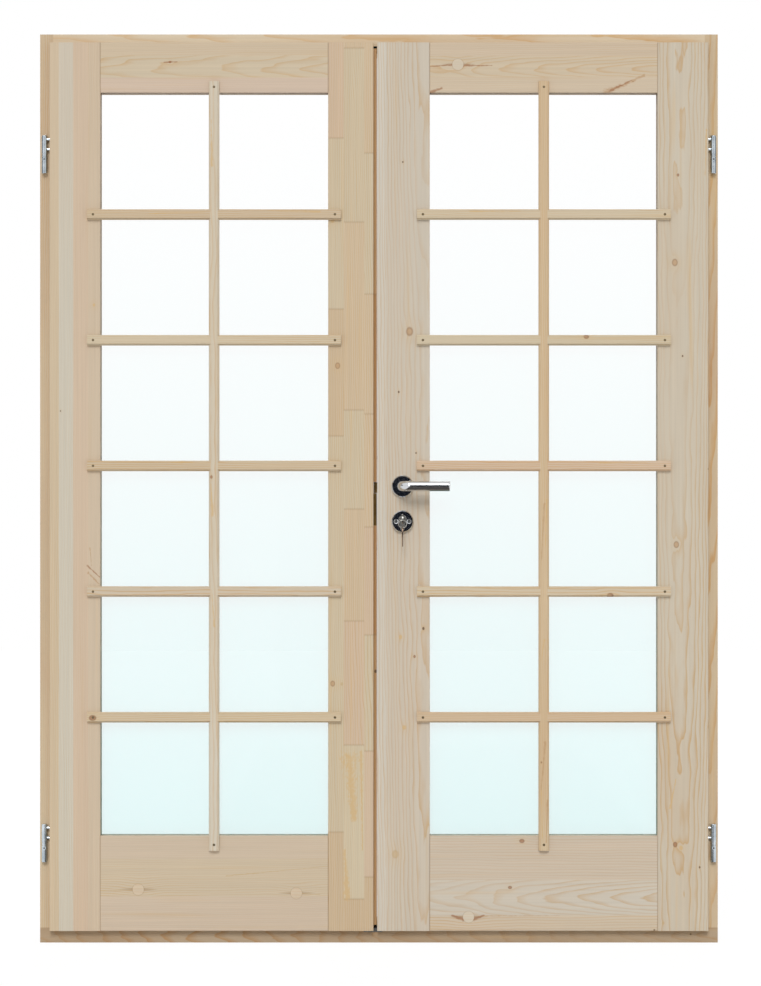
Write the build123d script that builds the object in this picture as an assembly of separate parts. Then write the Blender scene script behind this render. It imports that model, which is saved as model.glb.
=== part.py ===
from build123d import *
import os

# A pair of glazed pine french doors hung in their frame, which opens outwards.
# Millimetres. X runs to the right as seen from outside, +Y runs indoors and +Z is up.
# The origin is the middle of the sill's underside.

# Frame
FRAME_W = 1485.0
FRAME_H = 1990.0
FRAME_D = 92.0
JAMB_REVEAL = 22.5  # face of the jamb left showing beside a leaf
HEAD_REVEAL = 20.0
SILL_REVEAL = 28.0
LAP = 6.0  # leaf's lip over the face of the jambs and head
SILL_LAP = 4.0
STOP_STEP = 12.0  # stop stands this far past the rebate
REBATE_D = 28.5  # depth of the rebate that the leaf shuts into
SEAL_W = 8.0
SEAL_GAP = 0.3
SEAL_SLOPE_SHARE = 0.35  # slope of its sides, of its thickness
SCREW_R = 2.5
SCREW_HEAD_R = 5.0
SCREW_HEAD_T = 3.0
SCREW_BITE = 50.0  # corner screw's length in the end grain
CORNER_SCREW_INSET = 24.0  # corner screws from the frame's front and back faces
FIXING_R = 7.0  # bores for the screws into the wall
FIXING_BACK = 30.0  # bores from the frame's back face
FIXING_OUTER_SPACING = 1240.0
FIXING_INNER_SPACING = 420.0

# Leaves
LEAF_T = 42.0
LIP_T = 18.0
LIP_W = 11.0
LIP_GAP = 0.5  # between the lip and the frame's face
ARRIS = 1.2
HINGE_STILE_W = 111.0
MEETING_STILE_W = 115.0  # on the right leaf, which has the lock
TOP_RAIL_H = 110.0
BOTTOM_RAIL_H = 208.0
MEETING_GAP = 8.0  # between the two front faces
MEETING_SHIFT = 8.0  # middle of that gap, left of the frame's middle
REBATE_EDGE_GAP = 2.5  # between the left leaf's rebate and the right leaf
MEETING_SEAL_T = 3.4
MEETING_SEAL_GAP = 0.6  # to the right leaf, which swings past it
DOWEL_R = 6.0
DOWEL_BITE = 30.0
DOWEL_DEPTH = 27.0  # dowel's axis behind the leaf's face
DOWEL_SHARES = (0.35, 0.72)  # of a rail's height, from the opening

# Sealed glass units and their beads
LAND = 12.0  # wood in front of the glass
GLASS_BITE = 14.0
GLASS_EDGE_GAP = 3.0
PANE_T = 4.0
CAVITY_T = 9.0
SPACER_INSET = 2.0
SPACER_W = 9.0
BEAD_CHAMFER = 4.0

# Loose grille on the outside
BAR_W = 23.0
BAR_T = 10.0
BAR_FACE_W = 16.0
BAR_SIDE_T = 4.0
BAR_OVOLO = 3.0
BAR_COUNT = 5
BAR_LAP = 28.0  # bar's end on the stile or rail
GRILLE_DROP = 3.7  # grille hangs a little low in its opening
GRILLE_SCREW_INSET = 13.0
GRILLE_SCREW_R = 1.5
GRILLE_HEAD_R = 2.8
GRILLE_HEAD_T = 2.2
GRILLE_HEAD_SINK = 0.6
GRILLE_SCREW_BITE = 9.0  # screw's length in the leaf

# Lift-off hinges
HINGE_OUT = 12.0  # axis outboard of the leaf's edge
HINGE_FORE = 7.0  # axis in front of the frame's face
BARREL_R = 6.0
BARREL_EASE = 1.0
UPPER_BARREL_H = 40.0
LOWER_BARREL_H = 36.0
COLLAR_H = 7.0
COLLAR_R = 5.6
COLLAR_NECK_R = 4.6
COLLAR_NECK_H = 1.5
PIN_R = 3.0
PIN_PLAY = 0.05
PIN_REACH = 28.0  # pin's length in each barrel
HINGE_STUD_R = 3.0
HINGE_STUD_PITCH = 22.0
HINGE_STUD_TOP = 8.0  # upper stud below the barrel's top
HINGE_STUD_BITE = 34.0
JAMB_STUD_R = 3.5
JAMB_STUD_BITE = 30.0
SET_SCREW_DROP = 5.0
SET_SCREW_R = 1.9
SET_SCREW_L = 3.0
SET_BOSS_R = 3.4
SET_BOSS_OUT = 0.8
SET_SOCKET_W = 2.0
SET_SOCKET_D = 1.5
HINGE_ZS = (219.0, 1726.0)  # middles of the barrels

# Mortise lock in the right leaf
LOCK_DEPTH = 31.0  # lock's middle behind the leaf's face
BACKSET = 55.5
HANDLE_Z = 1000.0
HANDLE_TO_KEY = 72.0
CASE_T = 14.0
CASE_WALL = 1.6
CASE_L = 86.0
CASE_BELOW = 125.0  # below and above the handle
CASE_ABOVE = 50.0
FOREND_W = 18.0
FOREND_T = 3.0
FOREND_END = 24.0
BOLT_T = 9.6
BOLT_PLAY = 0.5
LATCH_OUT = 7.4
LATCH_H = 24.0
LATCH_DROP = 3.0  # middle of the latch below the handle
LATCH_BEVEL = 5.0
LATCH_BODY_L = 12.0
LATCH_TAIL_H = 6.0
LATCH_TAIL_RISE = 17.0  # tail's underside above the handle's axis
LATCH_LUG_X = 4.5
LATCH_LUG_W = 6.0
LATCH_LUG_DROP = 8.0
BOLT_THROW = 20.0
BOLT_H = 24.0
BOLT_L = 34.0
BOLT_TAIL_L = 26.0
BOLT_TAIL_H = 10.0
BOLT_TAIL_T = 4.0
BOLT_RISE = 18.0  # bolt's underside above the key's axis
HUB_R = 8.4
HUB_PLAY = 0.4
HUB_ARM_W = 6.0
HUB_ARM_R = 13.0
SPINDLE_W = 8.0
SPINDLE_END = 26.0  # spindle past each face of the leaf

# Key cylinder
CYL_R = 8.5
CYL_TAIL_W = 10.0
CYL_TAIL_DROP = 24.5
CYL_PROUD = 11.0
PLUG_R = 6.4
PLUG_PLAY = 0.05
CAM_R = 8.0
CAM_NOSE_R = 15.0
CAM_NOSE_W = 7.0
CAM_T = 9.0
CAM_SLOT_T = 10.0
CAM_SLOT_DROP = 16.5

# Keys and their ring
KEY_T = 2.3
KEY_BLADE_H = 8.0
KEY_BLADE_L = 24.0
SPARE_BLADE_L = 17.5
KEY_BOW_R = 11.0
KEY_BOW_REACH = 15.0  # bow's middle from the shoulder
KEY_HOLE_R = 3.0
KEY_HOLE_OUT = 5.5  # hole past the bow's middle
KEY_SLOT_PLAY = 0.1
RING_R = 8.5
RING_WIRE_R = 0.8
RING_SAG = 2.15  # wire's middle below the middle of the hole it hangs in

# Lever handles, roses and escutcheons
ROSE_R = 24.0
ROSE_T = 8.0
ROSE_CHAMFER = 1.8
ROSE_BORE_PLAY = 0.1
LEVER_R = 11.0
LEVER_OUT = 48.0  # lever's axis from the leaf's face
LEVER_L = 103.0
LEVER_BEND_R = 16.0
LEVER_TIP_EASE = 2.5
NECK_SEAT = 0.3  # neck's end from the leaf's face
ESCUTCHEON_DROP = 5.0  # escutcheon's middle below the key's axis
ESCUTCHEON_PLAY = 0.3
ESCUTCHEON_SCREW_X = 14.0
ESCUTCHEON_SCREW_R = 1.8
ESCUTCHEON_HEAD_R = 3.6
ESCUTCHEON_HEAD_T = 2.4
ESCUTCHEON_SCREW_BITE = 12.0

# Strike on the left leaf
STRIKE_H = 97.0
STRIKE_T = 2.0
STRIKE_DROP = 37.5  # middle of the strike and latch keep, below the handle
STRIKE_CLEAR = 1.5  # round the bolt
STRIKE_EDGE_GAP = 1.0  # between its front flange and the right leaf
STRIKE_DEPTH = 19.5
LATCH_CLEAR = 0.5

# Flush bolts in the left leaf's edge
FLUSH_PLATE_H = 150.0
FLUSH_PLATE_T = 2.5
FLUSH_PLATE_W = 14.0
FLUSH_ROD_W = 8.0
FLUSH_ROD_L = 150.0
FLUSH_PLAY = 0.3
FLUSH_THROW = 18.0
FLUSH_SLOT_W = 6.0
THUMB_OUT = 0.8
THUMB_H = 12.0
KEEP_W = 40.0
KEEP_T = 2.0
KEEP_FLANGE_H = 9.0
KEEP_DEPTH = 22.0

CUT = 1.0  # overrun of cuts

# Planes and edges that the pieces share
FACE_Y = -FRAME_D / 2
BACK_Y = FRAME_D / 2
STOP_Y = FACE_Y + REBATE_D
LIP_BACK = FACE_Y - LIP_GAP
LEAF_FRONT = LIP_BACK - LIP_T
LEAF_BACK = LEAF_FRONT + LEAF_T
HALF_W = FRAME_W / 2
LEAF_EDGE = HALF_W - JAMB_REVEAL
LEAF_BOTTOM = SILL_REVEAL
LEAF_TOP = FRAME_H - HEAD_REVEAL
REBATE_X = LEAF_EDGE - LAP
REBATE_TOP = LEAF_TOP - LAP
REBATE_BOTTOM = LEAF_BOTTOM + SILL_LAP
OPEN_OUT = LEAF_EDGE - HINGE_STILE_W
OPEN_BOTTOM = LEAF_BOTTOM + BOTTOM_RAIL_H
OPEN_TOP = LEAF_TOP - TOP_RAIL_H
LEFT_EDGE = -MEETING_SHIFT - MEETING_GAP / 2
RIGHT_EDGE = LEFT_EDGE + MEETING_GAP
STRIP_EDGE = RIGHT_EDGE - REBATE_EDGE_GAP
OPEN_IN = RIGHT_EDGE + MEETING_STILE_W
LOCK_Y = LEAF_FRONT + LOCK_DEPTH
HANDLE_X = RIGHT_EDGE + BACKSET
KEY_Z = HANDLE_Z - HANDLE_TO_KEY
HINGE_X = LEAF_EDGE + HINGE_OUT
HINGE_Y = FACE_Y - HINGE_FORE
BARREL_H = UPPER_BARREL_H + COLLAR_H + LOWER_BARREL_H
LATCH_Z = HANDLE_Z - LATCH_DROP
BOLT_Z = KEY_Z + BOLT_RISE + BOLT_H / 2
STRIKE_Z = HANDLE_Z - STRIKE_DROP
FLUSH_X = STRIP_EDGE - FLUSH_PLATE_T - FLUSH_PLAY - FLUSH_ROD_W / 2


def span_box(xs, ys, zs):
    """A block between two planes each way, given in either order."""
    pairs = [sorted(pair) for pair in (xs, ys, zs)]
    middle = [(low + high) / 2 for low, high in pairs]
    return Pos(*middle) * Box(*[high - low for low, high in pairs])


def around(middle, half):
    return (middle - half, middle + half)


def rod_x(xs, y, z, radius):
    return Pos(sum(xs) / 2, y, z) * Rot(0, 90, 0) * Cylinder(radius, abs(xs[1] - xs[0]))


def rod_y(x, ys, z, radius):
    return Pos(x, sum(ys) / 2, z) * Rot(90, 0, 0) * Cylinder(radius, abs(ys[1] - ys[0]))


def rod_z(x, y, zs, radius):
    return Pos(x, y, sum(zs) / 2) * Cylinder(radius, abs(zs[1] - zs[0]))


def prism_z(points, zs):
    """Upright moulding from its plan section."""
    face = make_face(Polyline(*[(x, y, zs[0]) for x, y in points], close=True))
    return extrude(face, amount=zs[1] - zs[0], dir=(0, 0, 1))


def prism_x(points, xs):
    """Level moulding from its section across Y and Z."""
    face = make_face(Polyline(*[(xs[0], y, z) for y, z in points], close=True))
    return extrude(face, amount=xs[1] - xs[0], dir=(1, 0, 0))


def cut_all(body, tools):
    for tool in tools:
        body -= tool
    return body


def group(pieces):
    return Compound(children=[piece.solid() for piece in pieces])


# Frame: a sill right across, jambs that stand on it and a head housed between them

SIDES = (-1, 1)
STOP_X = REBATE_X - STOP_STEP
HEAD_STOP = REBATE_TOP - STOP_STEP
SILL_STOP = REBATE_BOTTOM + STOP_STEP
SCREW_YS = (FACE_Y + CORNER_SCREW_INSET, BACK_Y - CORNER_SCREW_INSET)


def head_screw(side, y):
    z = (FRAME_H + REBATE_TOP) / 2
    shank = rod_x((side * (REBATE_X - SCREW_BITE), side * HALF_W), y, z, SCREW_R)
    return shank + rod_x((side * (HALF_W - SCREW_HEAD_T), side * HALF_W), y, z, SCREW_HEAD_R)


def sill_screw(side, y):
    x = side * (HALF_W + REBATE_X) / 2
    return rod_z(x, y, (0, REBATE_BOTTOM + SCREW_BITE), SCREW_R) + rod_z(x, y, (0, SCREW_HEAD_T), SCREW_HEAD_R)


def corner_screws():
    return [screw(side, y) for screw in (head_screw, sill_screw) for side in SIDES for y in SCREW_YS]


def fixing_bores(side):
    spacings = (FIXING_OUTER_SPACING, FIXING_INNER_SPACING)
    heights = [FRAME_H / 2 + end * spacing / 2 for spacing in spacings for end in SIDES]
    xs = (side * (STOP_X - CUT), side * (HALF_W + CUT))
    return [rod_x(xs, BACK_Y - FIXING_BACK, z, FIXING_R) for z in heights]


def frame_jamb(side):
    outline = [
        (HALF_W, FACE_Y), (REBATE_X, FACE_Y), (REBATE_X, STOP_Y),
        (STOP_X, STOP_Y), (STOP_X, BACK_Y), (HALF_W, BACK_Y),
    ]
    body = prism_z([(side * x, y) for x, y in outline], (REBATE_BOTTOM, FRAME_H))
    studs = [jamb_stud(side, z) for z in HINGE_ZS]
    return cut_all(body, fixing_bores(side) + corner_screws() + studs)


def housings():
    """Room for the jambs' stops at both ends of the head."""
    ys = (STOP_Y, BACK_Y + CUT)
    return [span_box((side * STOP_X, side * HALF_W), ys, (SILL_STOP, FRAME_H + CUT)) for side in SIDES]


def frame_head():
    outline = [
        (FACE_Y, FRAME_H), (FACE_Y, REBATE_TOP), (STOP_Y, REBATE_TOP),
        (STOP_Y, HEAD_STOP), (BACK_Y, HEAD_STOP), (BACK_Y, FRAME_H),
    ]
    body = prism_x(outline, (-REBATE_X, REBATE_X))
    socket = bolt_way((REBATE_TOP - CUT, REBATE_TOP + FLUSH_THROW))
    return cut_all(body, housings() + corner_screws() + [head_keep_blank(), socket])


def frame_sill():
    body = span_box((-HALF_W, HALF_W), (FACE_Y, BACK_Y), (0, REBATE_BOTTOM))
    body += span_box((-STOP_X, STOP_X), (STOP_Y, BACK_Y), (0, SILL_STOP))
    socket = bolt_way((REBATE_BOTTOM - FLUSH_THROW, REBATE_BOTTOM + CUT))
    return cut_all(body, corner_screws() + [sill_keep_blank(), socket])


def seal_section(edge, outward):
    """Seal's section from the stop's edge outwards, with its soft front narrower than its foot."""
    front = LEAF_BACK + SEAL_GAP
    slope = (STOP_Y - front) * SEAL_SLOPE_SHARE
    return [
        (edge, STOP_Y), (edge + outward * SEAL_W, STOP_Y),
        (edge + outward * (SEAL_W - slope), front), (edge + outward * slope, front),
    ]


def frame_seal():
    zs = (SILL_STOP - SEAL_W, HEAD_STOP + SEAL_W)
    strips = [prism_z(seal_section(side * STOP_X, side), zs) for side in SIDES]
    for edge, outward in ((SILL_STOP, -1), (HEAD_STOP, 1)):
        strips.append(prism_x([(y, z) for z, y in seal_section(edge, outward)], (-STOP_X, STOP_X)))
    return group(strips)


# Keeps that the flush bolts shoot into

def bolt_way(zs):
    half = FLUSH_ROD_W / 2 + FLUSH_PLAY
    return span_box(around(FLUSH_X, half), around(LOCK_Y, half), zs)


def head_keep_blank():
    zs = (REBATE_TOP, REBATE_TOP + KEEP_T)
    return span_box(around(FLUSH_X, KEEP_W / 2), around(LOCK_Y, KEEP_DEPTH / 2), zs)


def sill_keep_blank():
    xs = around(FLUSH_X, KEEP_W / 2)
    plate = span_box(xs, (FACE_Y, LOCK_Y + KEEP_DEPTH / 2), (REBATE_BOTTOM - KEEP_T, REBATE_BOTTOM))
    flange = span_box(xs, (FACE_Y, FACE_Y + KEEP_T), (REBATE_BOTTOM - KEEP_FLANGE_H, REBATE_BOTTOM))
    return plate + flange


def head_keep():
    return head_keep_blank() - bolt_way((REBATE_TOP - CUT, REBATE_TOP + KEEP_T + CUT))


def sill_keep():
    return sill_keep_blank() - bolt_way((REBATE_BOTTOM - KEEP_T - CUT, REBATE_BOTTOM + CUT))


# Hinges: the lower barrel is screwed into the jamb, the upper one into the leaf's lip

def hinge_levels(z):
    """Bottom and top of the lower barrel, then of the upper one."""
    bottom = z - BARREL_H / 2
    shoulder = bottom + LOWER_BARREL_H
    return bottom, shoulder, shoulder + COLLAR_H, bottom + BARREL_H


def barrel(side, zs, eased_end):
    body = rod_z(side * HINGE_X, HINGE_Y, zs, BARREL_R)
    return fillet(body.edges().sort_by(Axis.Z)[eased_end], BARREL_EASE)


def jamb_stud(side, z):
    bottom, shoulder, _, _ = hinge_levels(z)
    ys = (HINGE_Y, FACE_Y + JAMB_STUD_BITE)
    return rod_y(side * HINGE_X, ys, (bottom + shoulder) / 2, JAMB_STUD_R)


def set_screw_rod(side, z, radius, ys):
    _, shoulder, _, _ = hinge_levels(z)
    return rod_y(side * HINGE_X, ys, shoulder - SET_SCREW_DROP, radius)


def frame_hinge_half(side, z):
    bottom, shoulder, _, _ = hinge_levels(z)
    boss_front = HINGE_Y - BARREL_R - SET_BOSS_OUT
    body = barrel(side, (bottom, shoulder), 0) + jamb_stud(side, z)
    body += set_screw_rod(side, z, SET_BOSS_R, (boss_front, HINGE_Y))
    body -= rod_z(side * HINGE_X, HINGE_Y, (shoulder - PIN_REACH, shoulder + CUT), PIN_R)
    return body - set_screw_rod(side, z, SET_SCREW_R, (boss_front - CUT, HINGE_Y - PIN_R))


def hinge_set_screw(side, z):
    back = HINGE_Y - PIN_R
    _, shoulder, _, _ = hinge_levels(z)
    front = back - SET_SCREW_L
    body = set_screw_rod(side, z, SET_SCREW_R, (front, back)) - rod_z(
        side * HINGE_X, HINGE_Y, around(shoulder, BARREL_H), PIN_R)
    socket = RegularPolygon(SET_SOCKET_W / 2, 6)
    plane = Plane(origin=(side * HINGE_X, front, shoulder - SET_SCREW_DROP), z_dir=(0, 1, 0))
    return body - extrude(plane * socket, amount=SET_SOCKET_D)


def hinge_pin(side, z):
    _, shoulder, seat, _ = hinge_levels(z)
    pin = rod_z(side * HINGE_X, HINGE_Y, (shoulder - PIN_REACH, seat + PIN_REACH), PIN_R)
    pin += rod_z(side * HINGE_X, HINGE_Y, (shoulder, seat), COLLAR_NECK_R)
    return pin + rod_z(side * HINGE_X, HINGE_Y, (shoulder + COLLAR_NECK_H, seat - COLLAR_NECK_H), COLLAR_R)


def leaf_studs(side, z):
    _, _, _, top = hinge_levels(z)
    upper = top - HINGE_STUD_TOP
    xs = (side * HINGE_X, side * (LEAF_EDGE - HINGE_STUD_BITE))
    return [rod_x(xs, HINGE_Y, level, HINGE_STUD_R) for level in (upper, upper - HINGE_STUD_PITCH)]


def leaf_hinge_half(side, z):
    _, _, seat, top = hinge_levels(z)
    body = barrel(side, (seat, top), -1)
    for stud in leaf_studs(side, z):
        body += stud
    bore_top = seat + PIN_REACH + PIN_PLAY
    return body - rod_z(side * HINGE_X, HINGE_Y, (seat - CUT, bore_top), PIN_R + PIN_PLAY)


# Leaves: stiles from top to bottom with the rails between them, tongued and dowelled

LEAF_ZS = (LEAF_BOTTOM, LEAF_TOP)
BEAD_FRONT = LAND + 2 * PANE_T + CAVITY_T


def lip_ends():
    """Wood that is cut away behind the lip along the leaf's top and bottom."""
    ys = (LEAF_FRONT + LIP_T, LEAF_BACK + CUT)
    wide = (-HALF_W, HALF_W)
    return [span_box(wide, ys, (LEAF_TOP - LIP_W, LEAF_TOP + CUT)),
            span_box(wide, ys, (LEAF_BOTTOM - CUT, LEAF_BOTTOM + LIP_W))]


def stile(outer, edge, outward):
    """A stile from its section: the glass side is the same on all, and outer is the other edge."""
    inner = [(GLASS_BITE, LEAF_T), (GLASS_BITE, LAND), (0, LAND), (0, ARRIS), (ARRIS, 0)]
    points = [(edge + outward * u, LEAF_FRONT + v) for u, v in outer + inner]
    return cut_all(prism_z(points, LEAF_ZS), lip_ends())


def hinge_stile(side):
    outer = [
        (HINGE_STILE_W - ARRIS, 0), (HINGE_STILE_W, ARRIS), (HINGE_STILE_W, LIP_T),
        (HINGE_STILE_W - LIP_W, LIP_T), (HINGE_STILE_W - LIP_W, LEAF_T),
    ]
    studs = [stud for z in HINGE_ZS for stud in leaf_studs(side, z)]
    body = stile(outer, side * OPEN_OUT, side)
    return cut_all(body, studs + dowels(side) + grille_pilots(side))


def left_meeting_stile():
    front = LEFT_EDGE + OPEN_IN
    strip = STRIP_EDGE + OPEN_IN
    outer = [(front - ARRIS, 0), (front, ARRIS), (front, LIP_T), (strip, LIP_T), (strip, LEAF_T)]
    body = stile(outer, -OPEN_IN, 1)
    cuts = [latch_notch(), bolt_pocket(), strike_blank()]
    for end in SIDES:
        cuts += [flush_plate_blank(end), flush_channel(end), thumb_way(end)]
    return cut_all(body, cuts + dowels(-1) + grille_pilots(-1))


def right_meeting_stile():
    outer = [(MEETING_STILE_W - ARRIS, 0), (MEETING_STILE_W, ARRIS), (MEETING_STILE_W, LEAF_T)]
    body = stile(outer, OPEN_IN, -1)
    through = (LEAF_FRONT - CUT, LEAF_BACK + CUT)
    cuts = [case_blank(), forend_blank(), rod_y(HANDLE_X, through, HANDLE_Z, HUB_R + HUB_PLAY),
            cylinder_section(ESCUTCHEON_PLAY, through)]
    return cut_all(body, cuts + escutcheon_screw_rods() + dowels(1) + grille_pilots(1))


def rail(height, edge, upward):
    """A rail from its section, with tongues that fill the stiles' glass rebates."""
    face = [(0, ARRIS), (ARRIS, 0), (LAND, 0), (LAND, height), (ARRIS, height), (0, height - ARRIS)]
    back = [
        (LAND, GLASS_BITE), (LEAF_T, GLASS_BITE), (LEAF_T, height - LIP_W),
        (LIP_T, height - LIP_W), (LIP_T, height), (LAND, height),
    ]
    pieces = []
    for points, reach in ((face, 0), (back, GLASS_BITE)):
        placed = [(LEAF_FRONT + v, edge + upward * w) for v, w in points]
        pieces.append(prism_x(placed, (OPEN_IN - reach, OPEN_OUT + reach)))
    return pieces[0] + pieces[1]


def leaf_rail(side, height, edge, upward):
    body = rail(height, edge, upward)
    if side < 0:
        body = mirror(body, about=Plane.YZ)
    return cut_all(body, dowels(side) + grille_pilots(side))


def dowels(side):
    pegs = []
    y = LEAF_FRONT + DOWEL_DEPTH
    for edge, inward in ((OPEN_IN - GLASS_BITE, 1), (OPEN_OUT + GLASS_BITE, -1)):
        xs = (side * (edge - inward * DOWEL_BITE), side * (edge + inward * DOWEL_BITE))
        for share in DOWEL_SHARES:
            pegs.append(rod_x(xs, y, OPEN_TOP + share * TOP_RAIL_H, DOWEL_R))
            pegs.append(rod_x(xs, y, OPEN_BOTTOM - share * BOTTOM_RAIL_H, DOWEL_R))
    return pegs


# Sealed glass units, held from indoors by four beads

GLASS_OUT = GLASS_BITE - GLASS_EDGE_GAP


def glass_sheet(side, inset, ys):
    reach = GLASS_OUT - inset
    xs = (side * (OPEN_IN - reach), side * (OPEN_OUT + reach))
    return span_box(xs, ys, (OPEN_BOTTOM - reach, OPEN_TOP + reach))


def glass_pane(side, depth):
    front = LEAF_FRONT + depth
    return glass_sheet(side, 0, (front, front + PANE_T))


def glass_spacer(side):
    front = LEAF_FRONT + LAND + PANE_T
    ys = (front, front + CAVITY_T)
    clear = (front - CUT, front + CAVITY_T + CUT)
    return glass_sheet(side, SPACER_INSET, ys) - glass_sheet(side, SPACER_INSET + SPACER_W, clear)


def glazing_beads(side):
    beads = []
    bead = [(0, BEAD_FRONT), (-GLASS_BITE, BEAD_FRONT), (-GLASS_BITE, LEAF_T),
            (-BEAD_CHAMFER, LEAF_T), (0, LEAF_T - BEAD_CHAMFER)]
    for edge, inward in ((OPEN_IN, 1), (OPEN_OUT, -1)):
        points = [(side * (edge + inward * u), LEAF_FRONT + v) for u, v in bead]
        beads.append(prism_z(points, (OPEN_BOTTOM - GLASS_BITE, OPEN_TOP + GLASS_BITE)))
    for edge, inward in ((OPEN_BOTTOM, 1), (OPEN_TOP, -1)):
        points = [(LEAF_FRONT + v, edge + inward * u) for u, v in bead]
        xs = sorted((side * OPEN_IN, side * OPEN_OUT))
        beads.append(prism_x(points, xs))
    return group(beads)


# Grille: one upright and five bars, halved into each other and screwed on at their ends

OPEN_MIDDLE_X = (OPEN_IN + OPEN_OUT) / 2
GRILLE_Z = (OPEN_BOTTOM + OPEN_TOP) / 2 - GRILLE_DROP
UPRIGHT_L = OPEN_TOP - OPEN_BOTTOM + 2 * BAR_LAP
BAR_L = OPEN_OUT - OPEN_IN + 2 * BAR_LAP
BAR_PITCH = (OPEN_TOP - OPEN_BOTTOM + BAR_W) / (BAR_COUNT + 1)
BAR_ZS = [GRILLE_Z + (row - (BAR_COUNT - 1) / 2) * BAR_PITCH for row in range(BAR_COUNT)]


def moulding(length):
    """A bar along Z with its back at Y = 0: flat face, small quirk and ovolo on each side."""
    half, face, step = BAR_W / 2, BAR_FACE_W / 2, BAR_SIDE_T + BAR_OVOLO
    foot = -length / 2
    bulge = BAR_OVOLO * (1 - 0.5 ** 0.5)
    edges = [Line((-half, 0, foot), (half, 0, foot)), Line((-face, -BAR_T, foot), (face, -BAR_T, foot))]
    for side in SIDES:
        low, high = (side * half, -BAR_SIDE_T, foot), (side * (half - BAR_OVOLO), -step, foot)
        middle = (side * (half - bulge), -step + bulge, foot)
        edges += [Line((side * half, 0, foot), low), ThreePointArc(low, middle, high)]
        quirk = (side * face, -step, foot)
        edges += [Line(high, quirk), Line(quirk, (side * face, -BAR_T, foot))]
    return extrude(make_face(edges), amount=length, dir=(0, 0, 1))


def upright_blank(side):
    return Pos(side * OPEN_MIDDLE_X, LEAF_FRONT, GRILLE_Z) * moulding(UPRIGHT_L)


def bar_blank(side, z):
    return Pos(side * OPEN_MIDDLE_X, LEAF_FRONT, z) * Rot(0, 90, 0) * moulding(BAR_L)


def half_of_bars(front):
    """Everything in the front or the back half of the bars' thickness."""
    middle = LEAF_FRONT - BAR_T / 2
    end = LEAF_FRONT - BAR_T - CUT if front else LEAF_FRONT + CUT
    return span_box((-HALF_W, HALF_W), (middle, end), (0, FRAME_H))


def grille_upright(side):
    body = upright_blank(side)
    for z in BAR_ZS:
        body -= bar_blank(side, z) & half_of_bars(front=False)
    return cut_all(body, grille_screw_ways(side))


def grille_bar(side, z):
    body = bar_blank(side, z) - (upright_blank(side) & half_of_bars(front=True))
    return cut_all(body, grille_screw_ways(side))


def grille_screw_places(side):
    middle = side * OPEN_MIDDLE_X
    reach = BAR_L / 2 - GRILLE_SCREW_INSET
    places = [(middle + end * reach, z) for z in BAR_ZS for end in SIDES]
    rise = UPRIGHT_L / 2 - GRILLE_SCREW_INSET
    return places + [(middle, GRILLE_Z + end * rise) for end in SIDES]


def grille_screws(side):
    head_front = LEAF_FRONT - BAR_T + GRILLE_HEAD_SINK
    seat = head_front + GRILLE_HEAD_T
    return [rod_y(x, (head_front, seat), z, GRILLE_HEAD_R)
            + rod_y(x, (seat, LEAF_FRONT + GRILLE_SCREW_BITE), z, GRILLE_SCREW_R)
            for x, z in grille_screw_places(side)]


def grille_screw_ways(side):
    """Drilled and counterbored ways for the grille's screws."""
    face = LEAF_FRONT - BAR_T
    seat = face + GRILLE_HEAD_SINK + GRILLE_HEAD_T
    return [rod_y(x, (face - CUT, seat), z, GRILLE_HEAD_R) + rod_y(x, (seat, LEAF_FRONT + CUT), z, GRILLE_SCREW_R)
            for x, z in grille_screw_places(side)]


def grille_pilots(side):
    ys = (LEAF_FRONT - CUT, LEAF_FRONT + GRILLE_SCREW_BITE)
    return [rod_y(x, ys, z, GRILLE_SCREW_R) for x, z in grille_screw_places(side)]


# Lock in the right leaf's meeting stile

CASE_ZS = (HANDLE_Z - CASE_BELOW, HANDLE_Z + CASE_ABOVE)


def case_blank():
    return span_box((RIGHT_EDGE + FOREND_T, RIGHT_EDGE + CASE_L), around(LOCK_Y, CASE_T / 2), CASE_ZS)


def forend_blank():
    zs = (CASE_ZS[0] - FOREND_END, CASE_ZS[1] + FOREND_END)
    return span_box((RIGHT_EDGE - CUT, RIGHT_EDGE + FOREND_T), around(LOCK_Y, FOREND_W / 2), zs)


def bolt_opening(z, height):
    half = height / 2 + BOLT_PLAY
    return span_box((RIGHT_EDGE - 2 * CUT, RIGHT_EDGE + FOREND_T + 2 * CASE_WALL),
                    around(LOCK_Y, BOLT_T / 2 + BOLT_PLAY), around(z, half))


def lock_case():
    body = case_blank()
    body -= span_box((RIGHT_EDGE + FOREND_T + CASE_WALL, RIGHT_EDGE + CASE_L - CASE_WALL),
                     around(LOCK_Y, CASE_T / 2 - CASE_WALL), (CASE_ZS[0] + CASE_WALL, CASE_ZS[1] - CASE_WALL))
    body += forend_blank() - span_box((RIGHT_EDGE - 2 * CUT, RIGHT_EDGE), (LEAF_FRONT, LEAF_BACK), (0, FRAME_H))
    through = around(LOCK_Y, CASE_T)
    return cut_all(body, [bolt_opening(LATCH_Z, LATCH_H), bolt_opening(BOLT_Z, BOLT_H),
                          rod_y(HANDLE_X, through, HANDLE_Z, HUB_R + HUB_PLAY),
                          cylinder_section(ESCUTCHEON_PLAY, through)])


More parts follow.
